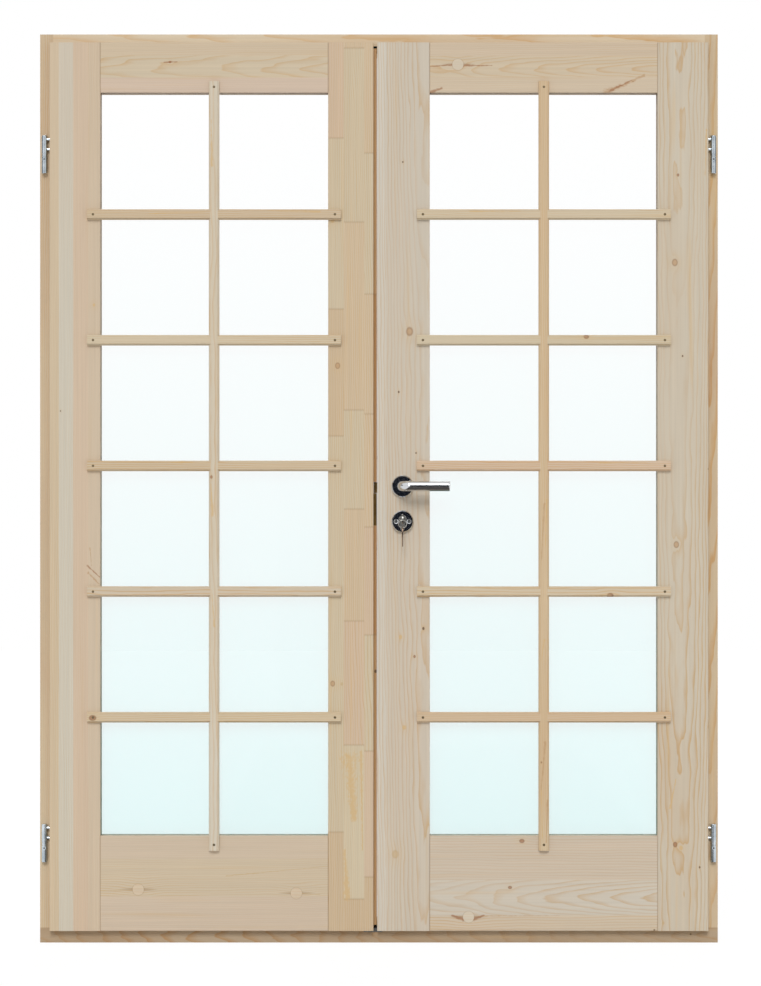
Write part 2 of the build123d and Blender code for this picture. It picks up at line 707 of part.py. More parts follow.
def latch_bolt():
    half = BOLT_T / 2
    tip = RIGHT_EDGE - LATCH_OUT
    end = RIGHT_EDGE + LATCH_BODY_L
    nose = [(tip, LOCK_Y - half), (end, LOCK_Y - half), (end, LOCK_Y + half),
            (tip + LATCH_BEVEL, LOCK_Y + half), (tip, LOCK_Y + half - LATCH_BEVEL)]
    ys = around(LOCK_Y, half)
    tail_low = HANDLE_Z + LATCH_TAIL_RISE
    tail_zs = (tail_low, tail_low + LATCH_TAIL_H)
    lug = HANDLE_X + LATCH_LUG_X
    body = prism_z(nose, around(LATCH_Z, LATCH_H / 2))
    body += span_box((end - LATCH_TAIL_H, end), ys, (LATCH_Z, tail_zs[1]))
    body += span_box((end - LATCH_TAIL_H, lug + LATCH_LUG_W), ys, tail_zs)
    return body + span_box((lug, lug + LATCH_LUG_W), ys, (tail_low - LATCH_LUG_DROP, tail_zs[1]))


def dead_bolt():
    """A square head on a thin tail that runs back over the cam."""
    back = RIGHT_EDGE + BOLT_L
    top = BOLT_Z + BOLT_H / 2
    head = span_box((RIGHT_EDGE, back), around(LOCK_Y, BOLT_T / 2), around(BOLT_Z, BOLT_H / 2))
    return head + span_box((back, back + BOLT_TAIL_L), around(LOCK_Y, BOLT_TAIL_T / 2), (top - BOLT_TAIL_H, top))


def spindle_rod(ys):
    return span_box(around(HANDLE_X, SPINDLE_W / 2), ys, around(HANDLE_Z, SPINDLE_W / 2))


def handle_spindle():
    """Square spindle with the follower that draws the latch."""
    body = spindle_rod((LEAF_FRONT - SPINDLE_END, LEAF_BACK + SPINDLE_END))
    body += rod_y(HANDLE_X, around(LOCK_Y, CASE_T / 2), HANDLE_Z, HUB_R)
    return body + span_box(around(HANDLE_X, HUB_ARM_W / 2), around(LOCK_Y, BOLT_T / 2),
                           (HANDLE_Z, HANDLE_Z + HUB_ARM_R))


# Key cylinder, keys and ring

KEY_FACE = LEAF_FRONT - CYL_PROUD


def cylinder_section(play, ys):
    """The cylinder's profile, a round head on a narrow tail, grown by a play."""
    half = CYL_TAIL_W / 2 + play
    tail_low = KEY_Z - CYL_TAIL_DROP + CYL_TAIL_W / 2
    body = rod_y(HANDLE_X, ys, KEY_Z, CYL_R + play) + rod_y(HANDLE_X, ys, tail_low, half)
    return body + span_box(around(HANDLE_X, half), ys, (tail_low, KEY_Z))


def lock_cylinder():
    ys = (KEY_FACE, LEAF_BACK + CYL_PROUD)
    body = cylinder_section(0, ys)
    slot = span_box(around(HANDLE_X, CYL_R + CUT), around(LOCK_Y, CAM_SLOT_T / 2),
                    (KEY_Z - CAM_SLOT_DROP, KEY_Z + CYL_R + CUT))
    return body - slot - rod_y(HANDLE_X, (ys[0] - CUT, ys[1] + CUT), KEY_Z, PLUG_R + PLUG_PLAY)


def cylinder_plug():
    body = rod_y(HANDLE_X, (KEY_FACE, LEAF_BACK + CYL_PROUD), KEY_Z, PLUG_R)
    ys = around(LOCK_Y, CAM_T / 2)
    nose_half = CAM_NOSE_W / 2
    nose_end = KEY_Z - CAM_NOSE_R + nose_half
    body += rod_y(HANDLE_X, ys, KEY_Z, CAM_R) + rod_y(HANDLE_X, ys, nose_end, nose_half)
    body += span_box(around(HANDLE_X, nose_half), ys, (nose_end, KEY_Z))
    keyway = span_box(around(HANDLE_X, KEY_T / 2 + KEY_SLOT_PLAY), (KEY_FACE - CUT, KEY_FACE + KEY_BLADE_L),
                      around(KEY_Z, KEY_BLADE_H / 2 + KEY_SLOT_PLAY))
    return body - keyway


def key_shape(blade):
    """A key with its shoulder at the origin, its blade along +Y and its bow along -Y."""
    flat = around(0, KEY_T / 2)
    body = span_box(flat, (-KEY_BOW_REACH, blade), around(0, KEY_BLADE_H / 2))
    body += rod_x(flat, -KEY_BOW_REACH, 0, KEY_BOW_R)
    return body - rod_x(around(0, KEY_T), -KEY_BOW_REACH - KEY_HOLE_OUT, 0, KEY_HOLE_R)


RING_Y = KEY_FACE - KEY_BOW_REACH - KEY_HOLE_OUT
RING_Z = KEY_Z - RING_SAG - RING_R


def key_in_lock():
    return Pos(HANDLE_X, KEY_FACE, KEY_Z) * key_shape(KEY_BLADE_L)


def key_ring():
    return Pos(HANDLE_X, RING_Y, RING_Z) * Rot(90, 0, 0) * Torus(RING_R, RING_WIRE_R)


def spare_key():
    shoulder = RING_Z - RING_R - RING_SAG - KEY_BOW_REACH - KEY_HOLE_OUT
    return Pos(HANDLE_X, RING_Y, shoulder) * Rot(-90, 0, 0) * key_shape(SPARE_BLADE_L)


# Lever handles, roses and escutcheons, the same on both faces

def handle_faces():
    """Plane of each face of the leaf, with the way that points off it."""
    return {"outside": (LEAF_FRONT, -1), "inside": (LEAF_BACK, 1)}


def lever(face, out):
    start = (HANDLE_X, face + out * NECK_SEAT, HANDLE_Z)
    corner = (HANDLE_X, face + out * LEVER_OUT, HANDLE_Z)
    tip = (HANDLE_X + LEVER_L, face + out * LEVER_OUT, HANDLE_Z)
    path = FilletPolyline(start, corner, tip, radius=LEVER_BEND_R)
    round_section = Plane(origin=start, z_dir=(0, out, 0)) * Circle(LEVER_R)
    body = sweep(round_section, path=path)
    body = fillet(body.edges().sort_by(Axis.X)[-1], LEVER_TIP_EASE)
    return body - spindle_rod(sorted((face, face + out * SPINDLE_END)))


def disc(face, out, z):
    """A round cover on the leaf's face with a chamfered rim."""
    body = rod_y(HANDLE_X, sorted((face, face + out * ROSE_T)), z, ROSE_R)
    rim = body.edges().sort_by(Axis.Y)[0 if out < 0 else -1]
    return chamfer(rim, ROSE_CHAMFER)


def rose(face, out):
    return disc(face, out, HANDLE_Z) - rod_y(HANDLE_X, around(face, ROSE_T + CUT), HANDLE_Z, LEVER_R + ROSE_BORE_PLAY)


def escutcheon(face, out):
    body = disc(face, out, KEY_Z - ESCUTCHEON_DROP)
    body -= cylinder_section(ESCUTCHEON_PLAY, around(face, ROSE_T + CUT))
    return cut_all(body, escutcheon_screw_rods()) if out < 0 else body


def escutcheon_screw_rods():
    front = LEAF_FRONT - ROSE_T
    z = KEY_Z - ESCUTCHEON_DROP
    return [rod_y(x, (front, front + ESCUTCHEON_HEAD_T), z, ESCUTCHEON_HEAD_R)
            + rod_y(x, (front, LEAF_FRONT + ESCUTCHEON_SCREW_BITE), z, ESCUTCHEON_SCREW_R)
            for x in around(HANDLE_X, ESCUTCHEON_SCREW_X)]


# Strike, seal and flush bolts on the left leaf's edge

STRIP_FRONT = LEAF_FRONT + LIP_T
LATCH_ZS = around(LATCH_Z, LATCH_H / 2 + LATCH_CLEAR)
STRIKE_ZS = (STRIKE_Z - STRIKE_H / 2, LATCH_ZS[0])


def latch_notch():
    return span_box((LEFT_EDGE, RIGHT_EDGE), (STRIP_FRONT - CUT, LEAF_BACK + CUT), LATCH_ZS)


def bolt_pocket():
    xs = (RIGHT_EDGE - BOLT_THROW - STRIKE_CLEAR, RIGHT_EDGE)
    return span_box(xs, around(LOCK_Y, BOLT_T / 2 + STRIKE_CLEAR), around(BOLT_Z, BOLT_H / 2 + STRIKE_CLEAR))


def strike_blank():
    front = (LEFT_EDGE, RIGHT_EDGE - STRIKE_EDGE_GAP)
    flange = span_box(front, (STRIP_FRONT, STRIP_FRONT + STRIKE_T), STRIKE_ZS)
    edge = span_box((STRIP_EDGE - STRIKE_T, STRIP_EDGE), (STRIP_FRONT, STRIP_FRONT + STRIKE_DEPTH), STRIKE_ZS)
    return flange + edge


def strike_plate():
    return strike_blank() - bolt_pocket()


def meeting_seal():
    xs = (STRIP_EDGE, RIGHT_EDGE - MEETING_SEAL_GAP)
    ys = (LEAF_BACK - MEETING_SEAL_T, LEAF_BACK)
    spans = ((LEAF_BOTTOM + LIP_W, LATCH_ZS[0]), (LATCH_ZS[1], LEAF_TOP - LIP_W))
    return group([span_box(xs, ys, zs) for zs in spans])


def flush_end(end):
    """Level of the leaf's inner top or bottom edge, where a flush bolt comes out."""
    return LEAF_TOP - LIP_W if end > 0 else LEAF_BOTTOM + LIP_W


def flush_plate_blank(end):
    edge = flush_end(end)
    return span_box((STRIP_EDGE - FLUSH_PLATE_T, STRIP_EDGE), around(LOCK_Y, FLUSH_PLATE_W / 2),
                    (edge - end * FLUSH_PLATE_H, edge))


def thumb_zs(end, low, high):
    """A span along the bolt's travel, about the middle of its plate."""
    middle = flush_end(end) - end * FLUSH_PLATE_H / 2
    return (middle + end * low, middle + end * high)


def thumb_way(end):
    half = THUMB_H / 2 + FLUSH_PLAY
    return span_box((FLUSH_X, STRIP_EDGE + CUT), around(LOCK_Y, FLUSH_SLOT_W / 2 + FLUSH_PLAY),
                    thumb_zs(end, -half, half + FLUSH_THROW))


def flush_plate(end):
    return flush_plate_blank(end) - thumb_way(end)


def flush_channel(end):
    edge = flush_end(end)
    half = FLUSH_ROD_W / 2 + FLUSH_PLAY
    return span_box(around(FLUSH_X, half), around(LOCK_Y, half),
                    (edge - end * (FLUSH_ROD_L + FLUSH_PLAY), edge + end * CUT))


def flush_bolt(end):
    edge = flush_end(end)
    half = FLUSH_ROD_W / 2
    body = span_box(around(FLUSH_X, half), around(LOCK_Y, half), (edge - end * FLUSH_ROD_L, edge))
    return body + span_box((FLUSH_X, STRIP_EDGE + THUMB_OUT), around(LOCK_Y, FLUSH_SLOT_W / 2),
                           thumb_zs(end, -THUMB_H / 2, THUMB_H / 2))


def leaf_nodes(side, name):
    """The pieces that both leaves have."""
    return {
        f"{name}_hinge_stile": hinge_stile(side),
        f"{name}_top_rail": leaf_rail(side, TOP_RAIL_H, OPEN_TOP, 1),
        f"{name}_bottom_rail": leaf_rail(side, BOTTOM_RAIL_H, OPEN_BOTTOM, -1),
        f"{name}_dowels": group(dowels(side)),
        f"{name}_outer_pane": glass_pane(side, LAND),
        f"{name}_inner_pane": glass_pane(side, LAND + PANE_T + CAVITY_T),
        f"{name}_glass_spacer": glass_spacer(side),
        f"{name}_glazing_beads": glazing_beads(side),
        f"{name}_grille_upright": grille_upright(side),
        f"{name}_grille_bars": group(grille_bar(side, z) for z in BAR_ZS),
        f"{name}_grille_screws": group(grille_screws(side)),
        f"{name}_leaf_hinge_halves": group(leaf_hinge_half(side, z) for z in HINGE_ZS),
    }


HINGE_PLACES = [(side, z) for side in SIDES for z in HINGE_ZS]
NODES = {
    "frame_head": frame_head(),
    "frame_sill": frame_sill(),
    "frame_left_jamb": frame_jamb(-1),
    "frame_right_jamb": frame_jamb(1),
    "frame_seal": frame_seal(),
    "frame_corner_screws": group(corner_screws()),
    "head_keep": head_keep(),
    "sill_keep": sill_keep(),
    "frame_hinge_halves": group(frame_hinge_half(side, z) for side, z in HINGE_PLACES),
    "hinge_pins": group(hinge_pin(side, z) for side, z in HINGE_PLACES),
    "hinge_set_screws": group(hinge_set_screw(side, z) for side, z in HINGE_PLACES),
    **leaf_nodes(-1, "left"),
    "left_meeting_stile": left_meeting_stile(),
    "left_meeting_seal": meeting_seal(),
    "strike_plate": strike_plate(),
    "top_bolt_plate": flush_plate(1),
    "bottom_bolt_plate": flush_plate(-1),
    "top_bolt": flush_bolt(1),
    "bottom_bolt": flush_bolt(-1),
    **leaf_nodes(1, "right"),
    "right_meeting_stile": right_meeting_stile(),
    "lock_case": lock_case(),
    "latch_bolt": latch_bolt(),
    "dead_bolt": dead_bolt(),
    "lock_cylinder": lock_cylinder(),
    "cylinder_plug": cylinder_plug(),
    "key": key_in_lock(),
    "key_ring": key_ring(),
    "spare_key": spare_key(),
    "handle_spindle": handle_spindle(),
    "escutcheon_screws": group(escutcheon_screw_rods()),
}
for place, (face, out) in handle_faces().items():
    NODES[f"{place}_lever"] = lever(face, out)
    NODES[f"{place}_rose"] = rose(face, out)
    NODES[f"{place}_escutcheon"] = escutcheon(face, out)

os.makedirs("parts", exist_ok=True)
for node, shape in NODES.items():
    export_step(shape, f"parts/{node}.step")
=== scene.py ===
import math

import bmesh
import bpy
from mathutils import Matrix, Vector


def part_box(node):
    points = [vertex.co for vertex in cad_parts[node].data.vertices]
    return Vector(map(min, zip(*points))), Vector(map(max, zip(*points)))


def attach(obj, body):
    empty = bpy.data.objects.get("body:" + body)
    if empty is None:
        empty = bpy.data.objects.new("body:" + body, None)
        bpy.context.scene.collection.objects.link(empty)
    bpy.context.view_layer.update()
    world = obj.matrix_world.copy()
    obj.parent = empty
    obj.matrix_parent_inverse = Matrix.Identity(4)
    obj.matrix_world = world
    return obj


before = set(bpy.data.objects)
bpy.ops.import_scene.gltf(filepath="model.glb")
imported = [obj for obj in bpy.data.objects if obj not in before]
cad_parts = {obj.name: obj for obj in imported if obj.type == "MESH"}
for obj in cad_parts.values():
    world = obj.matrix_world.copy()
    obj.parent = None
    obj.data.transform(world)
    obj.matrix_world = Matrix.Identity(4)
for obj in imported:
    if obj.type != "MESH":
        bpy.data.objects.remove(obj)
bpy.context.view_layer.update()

# Camera: level and square-on, six and a half metres from the frame's front face. The photograph's
# scale there and the middle of its image settle where it stands and how long its lens is.
PHOTO_W, PHOTO_H = 761, 986
METRES_PER_PIXEL = 0.0021915
FRAME_MIDDLE_PX = (378.95, 488.5)
CAMERA_DISTANCE = 6.5
SENSOR_H = 24.0
FRAME_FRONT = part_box("frame_left_jamb")[0].y
LEAF_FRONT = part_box("left_hinge_stile")[0].y
FRAME_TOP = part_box("frame_left_jamb")[1].z
camera_x = (PHOTO_W / 2 - FRAME_MIDDLE_PX[0]) * METRES_PER_PIXEL
camera_z = FRAME_TOP / 2 - (PHOTO_H / 2 - FRAME_MIDDLE_PX[1]) * METRES_PER_PIXEL
camera = bpy.data.objects.new("camera", bpy.data.cameras.new("camera"))
camera.data.sensor_fit = "VERTICAL"
camera.data.sensor_height = SENSOR_H
camera.data.lens = CAMERA_DISTANCE / METRES_PER_PIXEL * SENSOR_H / PHOTO_H
camera.location = (camera_x, FRAME_FRONT - CAMERA_DISTANCE, camera_z)
camera.rotation_euler = (math.radians(90), 0, 0)
bpy.context.scene.collection.objects.link(camera)
bpy.context.scene.camera = camera


def on_leaf(px, py):
    """Where a pixel of the photograph falls on the leaves' front face: across and up, in metres."""
    scale = METRES_PER_PIXEL * (CAMERA_DISTANCE + LEAF_FRONT - FRAME_FRONT) / CAMERA_DISTANCE
    return camera_x + (px - PHOTO_W / 2) * scale, camera_z - (py - PHOTO_H / 2) * scale


# Frame: two jambs, a head and a sill of planed pine, rebated on the outside for the leaves.
# The wood is bare, with rings that show as fine ochre lines, fibres, a few resin flecks and knots.
def srgb(red, green, blue):
    """A colour as it reads on screen, from 0 to 255, as the shader's own values."""
    shares = [value / 255 for value in (red, green, blue)]
    return (*[s / 12.92 if s <= 0.04045 else ((s + 0.055) / 1.055) ** 2.4 for s in shares], 1.0)


class Sock:
    """A socket of a shader: an operation on it adds a Math node."""

    def __init__(self, tree, socket):
        self.tree = tree
        self.socket = socket

    def math(self, operation, *values):
        node = self.tree.nodes.new("ShaderNodeMath")
        node.operation = operation
        for place, value in zip(node.inputs, values):
            feed(self.tree, place, value)
        return Sock(self.tree, node.outputs[0])

    def through(self, operation):
        """This value through an operation that takes one value."""
        return self.math(operation, self)

    def __abs__(self):
        return self.through("ABSOLUTE")

    def __add__(self, other):
        return self.math("ADD", self, other)

    def __radd__(self, other):
        return self.math("ADD", other, self)

    def __sub__(self, other):
        return self.math("SUBTRACT", self, other)

    def __rsub__(self, other):
        return self.math("SUBTRACT", other, self)

    def __mul__(self, other):
        return self.math("MULTIPLY", self, other)

    def __rmul__(self, other):
        return self.math("MULTIPLY", other, self)

    def __truediv__(self, other):
        return self.math("DIVIDE", self, other)

    def __pow__(self, other):
        return self.math("POWER", self, other)

    def __gt__(self, other):
        return self.math("GREATER_THAN", self, other)

    def __lt__(self, other):
        return self.math("LESS_THAN", self, other)


def feed(tree, place, value):
    """Links a socket, or sets a plain value."""
    if isinstance(value, Sock):
        tree.links.new(value.socket, place)
    else:
        place.default_value = value


class Finish:
    """A finish under construction, with one method that adds any node to it."""

    def __init__(self, name):
        self.material = bpy.data.materials.new(name)
        self.material.use_nodes = True
        self.tree = self.material.node_tree
        self.shader = self.tree.nodes["Principled BSDF"]

    def node(self, kind, settings, sockets, out=0):
        node = self.tree.nodes.new("ShaderNode" + kind)
        for key, value in settings.items():
            if key == "stops":
                fill_ramp(node.color_ramp, value)
            else:
                setattr(node, key, value)
        for key, value in sockets.items():
            feed(self.tree, node.inputs[key], value)
        return Sock(self.tree, node.outputs[out])

    def axes(self):
        """Object coordinates, one socket for each axis."""
        place = self.node("TexCoord", {}, {}, out="Object")
        return [self.node("SeparateXYZ", {}, {"Vector": place}, out=axis) for axis in range(3)]

    def vector(self, x, y, z):
        return self.node("CombineXYZ", {}, {0: x, 1: y, 2: z})

    def noise(self, x, y, z, scale, detail=2.0):
        place = self.vector(x, y, z)
        return self.node("TexNoise", {}, {"Vector": place, "Scale": scale, "Detail": detail})

    def random(self, x, y):
        """One random number for each pair of whole numbers."""
        place = self.vector(x, y, 0.0)
        return self.node("TexWhiteNoise", {"noise_dimensions": "2D"}, {"Vector": place})

    def ramp(self, share, stops, interpolation="LINEAR"):
        ramp = self.node("ValToRGB", {"stops": stops}, {"Fac": share})
        ramp.socket.node.color_ramp.interpolation = interpolation
        return ramp

    def mix(self, share, first, second, blend="MIX"):
        settings = {"data_type": "RGBA", "blend_type": blend}
        return self.node("Mix", settings, {0: share, 6: first, 7: second}, out=2)

    def clamp(self, value):
        return self.node("Clamp", {}, {"Value": value})

    def set(self, **sockets):
        """Sets the shader's sockets, named with underscores for spaces."""
        for key, value in sockets.items():
            feed(self.tree, self.shader.inputs[key.replace("_", " ")], value)

    def bump(self, height, strength, distance):
        normal = self.node("Bump", {}, {"Height": height, "Strength": strength, "Distance": distance})
        self.set(Normal=normal)


def fill_ramp(ramp, stops):
    """Places a ramp's stops: each is a share and a grey or a colour."""
    while len(ramp.elements) < len(stops):
        ramp.elements.new(1.0)
    for element, (share, colour) in zip(ramp.elements, stops):
        element.position = share
        element.color = colour if isinstance(colour, tuple) else (colour, colour, colour, 1.0)


EARLY_WOOD = srgb(207, 190, 163)
PINK_PINE = srgb(208, 187, 164)
LATE_WOOD = srgb(246, 222, 190)
RESIN_OCHRE = srgb(208, 174, 122)
# brown of glue lines and plug tails, and of the joint lines at piece ends, which are partly painted shade
JOINT_AND_SHADE_BROWN = srgb(150, 118, 84)
KNOT_LOOKS = {"sound": (srgb(184, 146, 106), 0.65, srgb(132, 92, 60), 0.5),
              "red": (srgb(158, 110, 76), 0.75, srgb(116, 74, 50), 0.55),
              "dark": (srgb(96, 74, 56), 0.85, srgb(96, 74, 56), 0.4),
              "pale": (srgb(196, 168, 126), 0.6, srgb(184, 152, 110), 0.3),
              "resin": (RESIN_OCHRE, 0.7, RESIN_OCHRE, 0.2)}  # heart, how strong, rim, how strong
RING_STOPS = [(0.0, 0.0), (0.56, 0.04), (0.86, 0.7), (0.94, 1.0), (1.0, 0.0)]
FIGURE = {"drift": (7.0, 3.0, 1.3, 2.0), "warp": (9.0, 9.0, 1.4, 3.0), "flutter": (50.0, 50.0, 9.0, 2.0),
          "ragged": (260.0, 260.0, 130.0, 2.0), "fade": (8.0, 6.0, 1.6, 1.0), "resin": (70.0, 30.0, 2.2, 1.0),
          "fibre": (620.0, 620.0, 11.0, 2.0),
          "vein": (240.0, 240.0, 3.0, 2.0)}  # times a metre across, through and along the grain, detail
PLUG_R = 0.0122
FLUTTER = 0.007
KNOT_STRETCH = 0.6
RING_BEND, BEND_FADE = 0.4, 0.16
SPIKE_TAPER = 1.6
# width and strength of the dark line where a joint closes: partly the joint itself and partly painted shade
JOINT_SHADE_WIDTH, JOINT_SHADE_SHARE = 0.0018, 0.55
FINGER, FINGER_SHARE = 0.0035, 0.28


def by_board(across, edges, value):
    """A value that changes from board to board at the edges, or one value for all."""
    if not isinstance(value, tuple):
        return value
    total = 0.0 * across + value[0]
    for edge, before, after in zip(edges, value, value[1:]):
        total = total + (across > edge) * (after - before)
    return total


def pine(name, grain, seed, pith, ring=0.0042, lean=0.0, taper=0.0, contrast=0.6, streak=0.0, swirl=0.012,
         tones=(EARLY_WOOD, PINK_PINE), edges=(), strips=(), knots=(), spikes=(), plugs=(), ends=(),
         corners=()):
    """Pine sawn from a log. Grain is the axis it runs along, and pith is where the log's middle lies
    from the piece, across and behind, with lean and taper as it goes along. Tones drift over one board,
    or go to the boards between edges, as pith, taper and contrast may. Strips are rows of finger-jointed
    blocks, each with its tone and its lower end. Knots, spikes and plugs are in pixels of the photograph.
    A knot has its radius in millimetres and its look. A spike is a knot cut lengthways, from its thick
    end to its thin one. Ends are where a joint closes, drawn as a dark line that is partly the joint and
    partly painted shade in it, and between corners the grain runs level."""
    finish = Finish(name)
    x, y, z = finish.axes()
    along, across = (z, x) if grain == "Z" else (x, z)
    if corners:
        level = (abs(x) > corners[0]) * (abs(x) < corners[1])
        along, across = z + level * (x - z), x + level * (z - x)

    def figure(kind, length, start=0.0):
        fine, deep, long, detail = FIGURE[kind]
        return finish.noise(fine * across, deep * y, long * length + start, 1.0, detail)

    board = 0.0 * across
    for edge in edges:
        board = board + (across > edge)
    drift = figure("drift", along, seed)
    if strips:
        tone, board, joint = block_tones(finish, across, along, edges, strips)
    elif edges:
        stops = [(number / len(tones), tone) for number, tone in enumerate(tones)]
        tone = finish.ramp((board + 0.5) / len(tones), stops, "CONSTANT")
        tone = finish.mix(finish.clamp(0.9 * drift - 0.42), tone, PINK_PINE)
    else:
        stops = [(number / (len(tones) - 1), tone) for number, tone in enumerate(tones)]
        tone = finish.ramp(finish.clamp(2.4 * drift - 0.7), stops)
    lot = finish.random(board + 17.0 * seed, float(seed))
    shift = along + 3.0 * lot
    warp = figure("warp", shift, 1.7 * seed) - 0.5
    aside = across - by_board(across, edges, pith[0]) + lean * along
    if edges and not isinstance(pith[0], tuple):
        aside = aside + 0.10 * lot
    behind = y - by_board(across, edges, pith[1]) + by_board(across, edges, taper) * along
    heart = (aside * aside + behind * behind).through("SQRT")
    flutter = figure("flutter", shift) - 0.5
    rings = (heart + swirl * warp + FLUTTER * flutter) / ring + 40.0
    stains = []
    rounds = [(px, py, radius / 1000, look) for px, py, radius, look in knots]
    for px, py, radius, look in rounds + [(*plug, PLUG_R, "plug") for plug in plugs]:
        place = on_leaf(px, py)
        knot_across, knot_along = place if grain == "Z" else reversed(place)
        over, up = (across - knot_across) / radius, (along - knot_along) / radius
        reach = (over * over + KNOT_STRETCH * up * up).through("SQRT") + 0.6 * warp
        bend = (-BEND_FADE * reach * reach).through("EXPONENT")
        rings = rings + (RING_BEND * radius / ring) * bend
        if look == "plug":
            tail = (9.0 * over * over + 0.10 * up * up).through("SQRT") + 0.9 * warp
            round_it = (over * over + up * up).through("SQRT")
            stains += [(0.6 * finish.clamp(1.2 - tail), JOINT_AND_SHADE_BROWN),
                       (0.3 * finish.clamp(1.0 - 9.0 * abs(round_it - 1.05)), JOINT_AND_SHADE_BROWN)]
        else:
            heart_tone, heart_share, rim_tone, rim_share = KNOT_LOOKS[look]
            edge = finish.clamp(1.0 - 3.0 * abs(reach - 0.85))
            stains += [(0.2 * bend, RESIN_OCHRE), (heart_share * finish.clamp(3.0 - 3.0 * reach), heart_tone),
                       (rim_share * edge, rim_tone)]
    ragged = figure("ragged", along) - 0.5 if spikes else None
    for thick, thin, radius, look in spikes:
        start, end = (Vector(on_leaf(*point)) for point in (thick, thin))
        if grain == "X":
            start, end = start.yx, end.yx
        run = end - start
        gone = finish.clamp(((across - start.x) * run.x + (along - start.y) * run.y) / run.length_squared)
        over, up = across - start.x - run.x * gone, along - start.y - run.y * gone
        reach = (over * over + up * up).through("SQRT") * (1.0 + SPIKE_TAPER * gone)
        reach = 1000.0 * reach / radius + 1.6 * flutter + 2.6 * ragged
        stains.append((KNOT_LOOKS[look][1] * finish.clamp(1.3 - reach), KNOT_LOOKS[look][0]))
    late = finish.ramp(rings.through("FRACT"), RING_STOPS)
    fade = figure("fade", shift)
    late = finish.clamp(late * by_board(across, edges, contrast) * (2.4 * fade - 0.3))
    colour = finish.mix(late, tone, finish.mix(1.0, tone, LATE_WOOD, "MULTIPLY"))
    if streak:
        resin = figure("resin", shift, seed)
        colour = finish.mix(streak * finish.clamp(7.0 * resin - 4.3), colour, RESIN_OCHRE)
    fibre = figure("fibre", along)
    vein = figure("vein", shift)
    shade = 0.885 + 0.08 * fibre + 0.15 * vein
    colour = finish.mix(1.0, colour, finish.vector(shade, shade, shade), "MULTIPLY")
    if strips:
        colour = finish.mix(FINGER_SHARE * joint, colour, JOINT_AND_SHADE_BROWN)
    for share, stain in stains:
        colour = finish.mix(share, colour, stain)
    for end in ends:
        joint_shade = finish.clamp(1.0 - abs(along - end) / JOINT_SHADE_WIDTH)
        colour = finish.mix(JOINT_SHADE_SHARE * joint_shade, colour, JOINT_AND_SHADE_BROWN)
    finish.set(Base_Color=colour, Roughness=0.54 + 0.16 * fibre, Specular_IOR_Level=0.3)
    finish.bump(0.4 * late + 0.5 * fibre, 0.2, 0.0003)
    return finish.material


def block_tones(finish, across, along, edges, strips):
    """Tone, number and joint lines of finger-jointed blocks, in strips from left to right."""
    tone = board = joint = None
    for number, blocks in enumerate(strips):
        cell, line = 0.0 * along, 0.0 * along
        for _, py in blocks[:-1]:
            level = on_leaf(0, py)[1]
            cell = cell + (along < level)
            line = line.math("MAXIMUM", line, 1.0 - abs(along - level) / FINGER)
        stops = [(count / len(blocks), colour) for count, (colour, _) in enumerate(blocks)]
        strip_tone = finish.ramp((cell + 0.5) / len(blocks), stops, "CONSTANT")
        if tone is None:
            tone, board, joint = strip_tone, cell, line
        else:
            here = across > edges[number - 1]
            tone = finish.mix(here, tone, strip_tone)
            board = board + here * (cell + 11.0 - board)
            joint = joint + here * (line - joint)
    return tone, board, finish.clamp(joint)


def dress(material, *nodes):
    """Gives CAD nodes a finish."""
    for node in nodes:
        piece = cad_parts[node]
        piece.data.materials.clear()
        piece.data.materials.append(material)


LEFT_JAMB_TONES = (srgb(205, 187, 157), srgb(200, 178, 149), srgb(208, 191, 162))
RIGHT_JAMB_TONES = (srgb(198, 172, 140), srgb(205, 185, 154), srgb(194, 164, 131))
HEAD_TONES = (srgb(219, 202, 174), srgb(214, 192, 161), srgb(220, 206, 181))
# The sill's tones are darker than the rest of the frame's: painted shade, standing for the shadow of the
# leaves above it.
SILL_SHADED_TONES = (srgb(182, 161, 134), srgb(174, 150, 121), srgb(190, 172, 147))
SILL_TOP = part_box("frame_left_jamb")[0].z
# Where each jamb meets the sill, a dark line is partly the joint and partly painted shade.
dress(pine("pine_left_jamb", "Z", 1, (-0.95, 0.02), tones=LEFT_JAMB_TONES, contrast=0.8, streak=0.35,
           ends=[SILL_TOP]), "frame_left_jamb")
dress(pine("pine_right_jamb", "Z", 2, (0.715, 0.05), ring=0.006, taper=0.03, tones=RIGHT_JAMB_TONES,
           contrast=1.0, streak=0.5, ends=[SILL_TOP]), "frame_right_jamb")
dress(pine("pine_head", "X", 3, (1.99, 0.03), ring=0.005, taper=0.02, lean=0.01, tones=HEAD_TONES,
           contrast=0.9, streak=0.3), "frame_head")
dress(pine("pine_sill", "X", 4, (0.02, 0.06), ring=0.0052, taper=0.10, tones=SILL_SHADED_TONES, contrast=0.8,
           swirl=0.03, streak=0.2, knots=[(691.5, 935.4, 1.8, "dark")]), "frame_sill")
